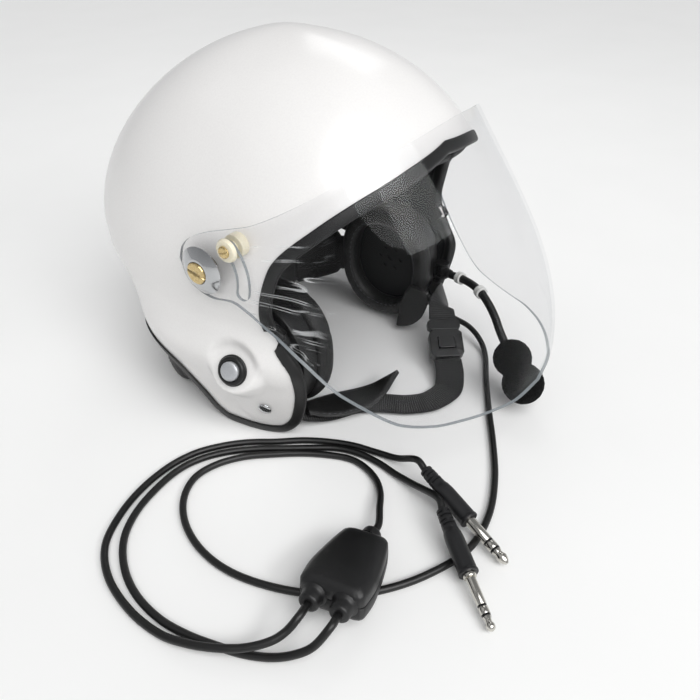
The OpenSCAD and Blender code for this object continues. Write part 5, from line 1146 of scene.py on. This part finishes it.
# Glass-filled nylon: charcoal, spark-eroded grain about 0.7 mm, faintly streaked, with rubbed corners.
spark = add(tree, "ShaderNodeTexNoise", {"Vector": place, "Scale": 1300.0, "Detail": 3.0})
rub = add(tree, "ShaderNodeTexNoise", {"Vector": place, "Scale": 70.0, "Detail": 4.0, "Roughness": 0.6})
tone = add(tree, "ShaderNodeMix", {0: rub.outputs[0], 6: paint("0a0a0b"), 7: paint("151516")},
           data_type="RGBA")
matt = add(tree, "ShaderNodeMapRange", {"Value": rub.outputs[0], "To Min": 0.34, "To Max": 0.55})
rough = add(tree, "ShaderNodeBump", {"Height": spark.outputs[0], "Strength": 0.45, "Distance": 0.00018})
feed(tree, shader, {"Base Color": tone.outputs[2], "Roughness": matt.outputs[0],
                    "Normal": rough.outputs[0]})
solder_mask, tree, shader, place = begin("green_solder_mask")
# Solder mask: green lacquer over copper tracks about 1 mm wide.
tracks = add(tree, "ShaderNodeTexWave", {"Vector": place, "Scale": 160.0, "Distortion": 4.0},
             bands_direction="X")
tone = add(tree, "ShaderNodeMix", {0: tracks.outputs["Fac"], 6: paint("0f4a2c"), 7: paint("2c7a4c")},
           data_type="RGBA")
feed(tree, shader, {"Base Color": tone.outputs[2], "Roughness": 0.3})
dress("box_board", solder_mask)


def box_rings(levels, insets):
    """Level outlines of the box, in its own axes: half width through four stations less the corner
    rounding, at a height and an inset."""
    x = np.concatenate([np.linspace(-1, -0.9, 14), np.linspace(-0.88, 0.88, 46), np.linspace(0.9, 1, 14)])
    corner = through([0, 0.5, 0.85, 0.96, 1], [0, 0, 0.3, 1.8, 4.5], np.abs(x))
    half = through([-1, -0.45, 0.1, 1], [17.9, 18.5, 17, 13], x) - corner
    line = np.concatenate([np.stack([x, -half], -1), np.stack([x[::-1], half[::-1]], -1)])
    inset = np.asarray(insets, float)[:, None]
    px = line[:, 0] * (23.5 - inset)
    py = line[:, 1] - np.sign(line[:, 1]) * np.minimum(inset, np.abs(line[:, 1]) - 0.5)
    pz = np.broadcast_to(np.asarray(levels, float)[:, None], px.shape)
    return box_at + px[..., None] * box_x + py[..., None] * box_y + pz[..., None] * box_z


lid = box_rings([10.1, 10.05, 10.4, 15.2, 16.6, 18.2, 19.0, 19.5, 19.8, 20.1, 20.3],
                [3, 0.25, 0, 0.2, 0.8, 2.4, 3.4, 4.6, 6.6, 9.6, 12.4])
base = box_rings([0, 0.1, 0.6, 1.6, 3.5, 9.2, 9.55, 9.6], [8, 3, 1.6, 0.7, 0.15, 0, 0.3, 3])
piece("crowned_box_lid", [skin(lid)], box_plastic, "helmet", ["box_lid"], 50)
piece("box_tray", [skin(base)], box_plastic, "helmet", ["box_base"], 50)
gland = [(1, -3), (3, -3), (3, -0.2), (7.2, -0.4), (6.6, 0.3), (6.0, 0.9), (5.75, 1.6), (5.6, 2.6),
         (5.45, 5.6), (5.1, 6.4), (4.3, 6.9), (2.9, 7), (2.2, 6.8), (1, 6.8)]
piece("moulded_cord_bosses", [skin(turned_rings(gland, box_at + x * box_x + y * box_y + 10 * box_z,
                                                side * box_x, 72))
      for x, y, side in ((23.5, 0, 1), (-23.5, 8.2, -1), (-23.5, -8.2, -1))], box_plastic, "helmet",
      ["box_glands"], 50)

# Plugs: a 6.35 mm headphone plug and a 5.23 mm microphone plug, nickel-plated brass contacts between
# moulded bands, with PVC grips whose boots have staggered slots so that they bend with the cord.
grip_pvc, tree, shader, place = begin("moulded_pvc_grip")
# Moulded PVC: black, satin, with a fine grain of 0.6 mm and a greyer rubbed bloom.
fine = add(tree, "ShaderNodeTexNoise", {"Vector": place, "Scale": 1500.0, "Detail": 2.0})
bloom = add(tree, "ShaderNodeTexNoise", {"Vector": place, "Scale": 90.0, "Detail": 3.0})
tone = add(tree, "ShaderNodeMix", {0: bloom.outputs[0], 6: paint("0d0d0e"), 7: paint("202022")},
           data_type="RGBA")
rough = add(tree, "ShaderNodeBump", {"Height": fine.outputs[0], "Strength": 0.3, "Distance": 0.00012})
feed(tree, shader, {"Base Color": tone.outputs[2], "Roughness": 0.42, "Normal": rough.outputs[0]})
nickel, tree, shader, place = begin("nickel_plated_brass")
# Nickel plate: bright and slightly warm, with sliding scratches about 0.3 mm apart.
slide = add(tree, "ShaderNodeTexNoise", {"Vector": place, "Scale": 800.0, "Detail": 4.0})
tone = add(tree, "ShaderNodeMix", {0: slide.outputs[0], 6: paint("dcdad4"), 7: paint("bdbab2")},
           data_type="RGBA")
shine = add(tree, "ShaderNodeMapRange", {"Value": slide.outputs[0], "To Min": 0.1, "To Max": 0.26})
feed(tree, shader, {"Base Color": tone.outputs[2], "Metallic": 1.0, "Roughness": shine.outputs[0]})
acetal, tree, shader, place = begin("moulded_acetal")
# Acetal: black, smooth and slightly glossy, with a trace of moulding flow.
flow = add(tree, "ShaderNodeTexNoise", {"Vector": place, "Scale": 600.0, "Detail": 2.0})
tone = add(tree, "ShaderNodeMix", {0: flow.outputs[0], 6: paint("080808"), 7: paint("161617")},
           data_type="RGBA")
feed(tree, shader, {"Base Color": tone.outputs[2], "Roughness": 0.28})


def grip_rings(at, way, n=144):
    """A plug's grip: a boot whose skin sinks by 0.9 in staggered slots, each a window in height and turn,
    then a waist, a grip and an end flange."""
    z = np.unique(np.concatenate([np.linspace(0, 13, 105), np.linspace(13, 20.5, 30),
                                  np.linspace(20.5, 38.2, 12), np.linspace(38.3, 40, 12)]))
    r = through([0, 0.4, 3, 12.6, 13.2, 15.5, 20.5, 38.2, 38.6, 39.6, 40],
                [3.2, 3.7, 3.9, 4.3, 4.35, 4.9, 5.3, 5.3, 5.6, 5.6, 5.3], z)
    a = full_turn(n)
    row = np.floor((z - 1.2) / 2.7)
    inside = np.clip(1.6 - np.abs((z - 1.2) % 2.7 - 1.15) * 2.4, 0, 1) * ((z > 1.2) & (z < 12.0))
    window = np.clip((np.abs(np.cos(a[None, :] + (row % 2)[:, None] * pi / 2)) - 0.32) * 9, 0, 1)
    r = r[:, None] - 0.95 * np.clip(inside[:, None] * 1.4, 0, 1) * window
    side = np.cross(way, (0, 0, 1))
    side /= np.linalg.norm(side)
    up = np.cross(side, way)
    across = np.cos(a)[None, :, None] * side + np.sin(a)[None, :, None] * up
    return at + z[:, None, None] * way + r[..., None] * across


def plug_way(tilt, turn):
    """The direction of a plug at a tilt from upright and a turn from X, both in degrees."""
    tilt, turn = radians(tilt), radians(turn)
    return np.array([sin(tilt) * cos(turn), sin(tilt) * sin(turn), cos(tilt)])


phone_at, phone_way = np.array([-85.0, -128, 15.6]), plug_way(99.0, 248.2)
mic_at, mic_way = np.array([-105.0, -150, 13.6]), plug_way(98, 228.9)
for name, at, way, r, start, bands, tip in (
        ("phone_plug", phone_at, phone_way, 3.175, 0.3, (15.2, 20.6),
         [(3.0, 21.85), (3.05, 22.0), (2.25, 23.6), (2.2, 24.2), (2.6, 25.2), (2.98, 26.3), (2.95, 26.9),
          (2.6, 28.2), (1.8, 29.8), (0.9, 30.75)]),
        ("mic_plug", mic_at, mic_way, 2.615, 2.4, (17.4, 22.4),
         [(2.4, 23.65), (2.45, 23.8), (1.72, 25.3), (1.72, 26.4), (2.1, 27.2), (2.38, 28.0), (2.4, 28.7),
          (2.2, 29.6), (1.6, 30.4), (0.8, 30.9)])):
    piece(name + "_slotted_grip", [skin(grip_rings(at, way))], grip_pvc, "helmet", [name + "_grip"],
          40)
    base_at = at + 40 * way
    barrel = [(1.7, -7.9), (r - 0.4, -7.9), (r - 0.4, start - 0.2), (r - 0.15, start), (r, start + 0.15),
              (r, bands[0] - 0.15), (r - 0.12, bands[0]), (1.7, bands[0])]
    sleeve = [skin(turned_rings(barrel, base_at, way, 80), loop=True)]
    if name == "mic_plug":
        collar = [(r - 0.6, 0.1), (r + 0.8, 0.1), (r + 1, 0.3), (r + 1, 1.8), (r + 0.8, 2.1),
                  (r - 0.6, 2.1)]
        sleeve.append(skin(turned_rings(collar, base_at, way, 80), loop=True))
    piece(name + "_barrel", sleeve, nickel, "helmet", [name + "_sleeve"], 40)
    rings_at = [skin(turned_rings([(1.2, b + 0.05), (r - 0.2, b + 0.05), (r - 0.2, b + 1.15),
                                   (1.2, b + 1.15)], base_at, way, 80), loop=True) for b in bands]
    piece(name + "_bands", rings_at, acetal, "helmet", [name + "_insulators"], 40)
    middle = [(1.7, bands[0] + 1.2), (r - 0.12, bands[0] + 1.2), (r, bands[0] + 1.35), (r, bands[1] - 0.15),
              (r - 0.12, bands[1]), (1.7, bands[1])]
    head = [(0.5, -7.9), (1.15, -7.9), (1.15, tip[0][1] - 0.05)] + tip
    piece(name + "_ring_and_tip", [skin(turned_rings(middle, base_at, way, 80), loop=True),
                                   skin(turned_rings(head, base_at, way, 80))],
          nickel, "helmet", [name + "_contacts"], 45)
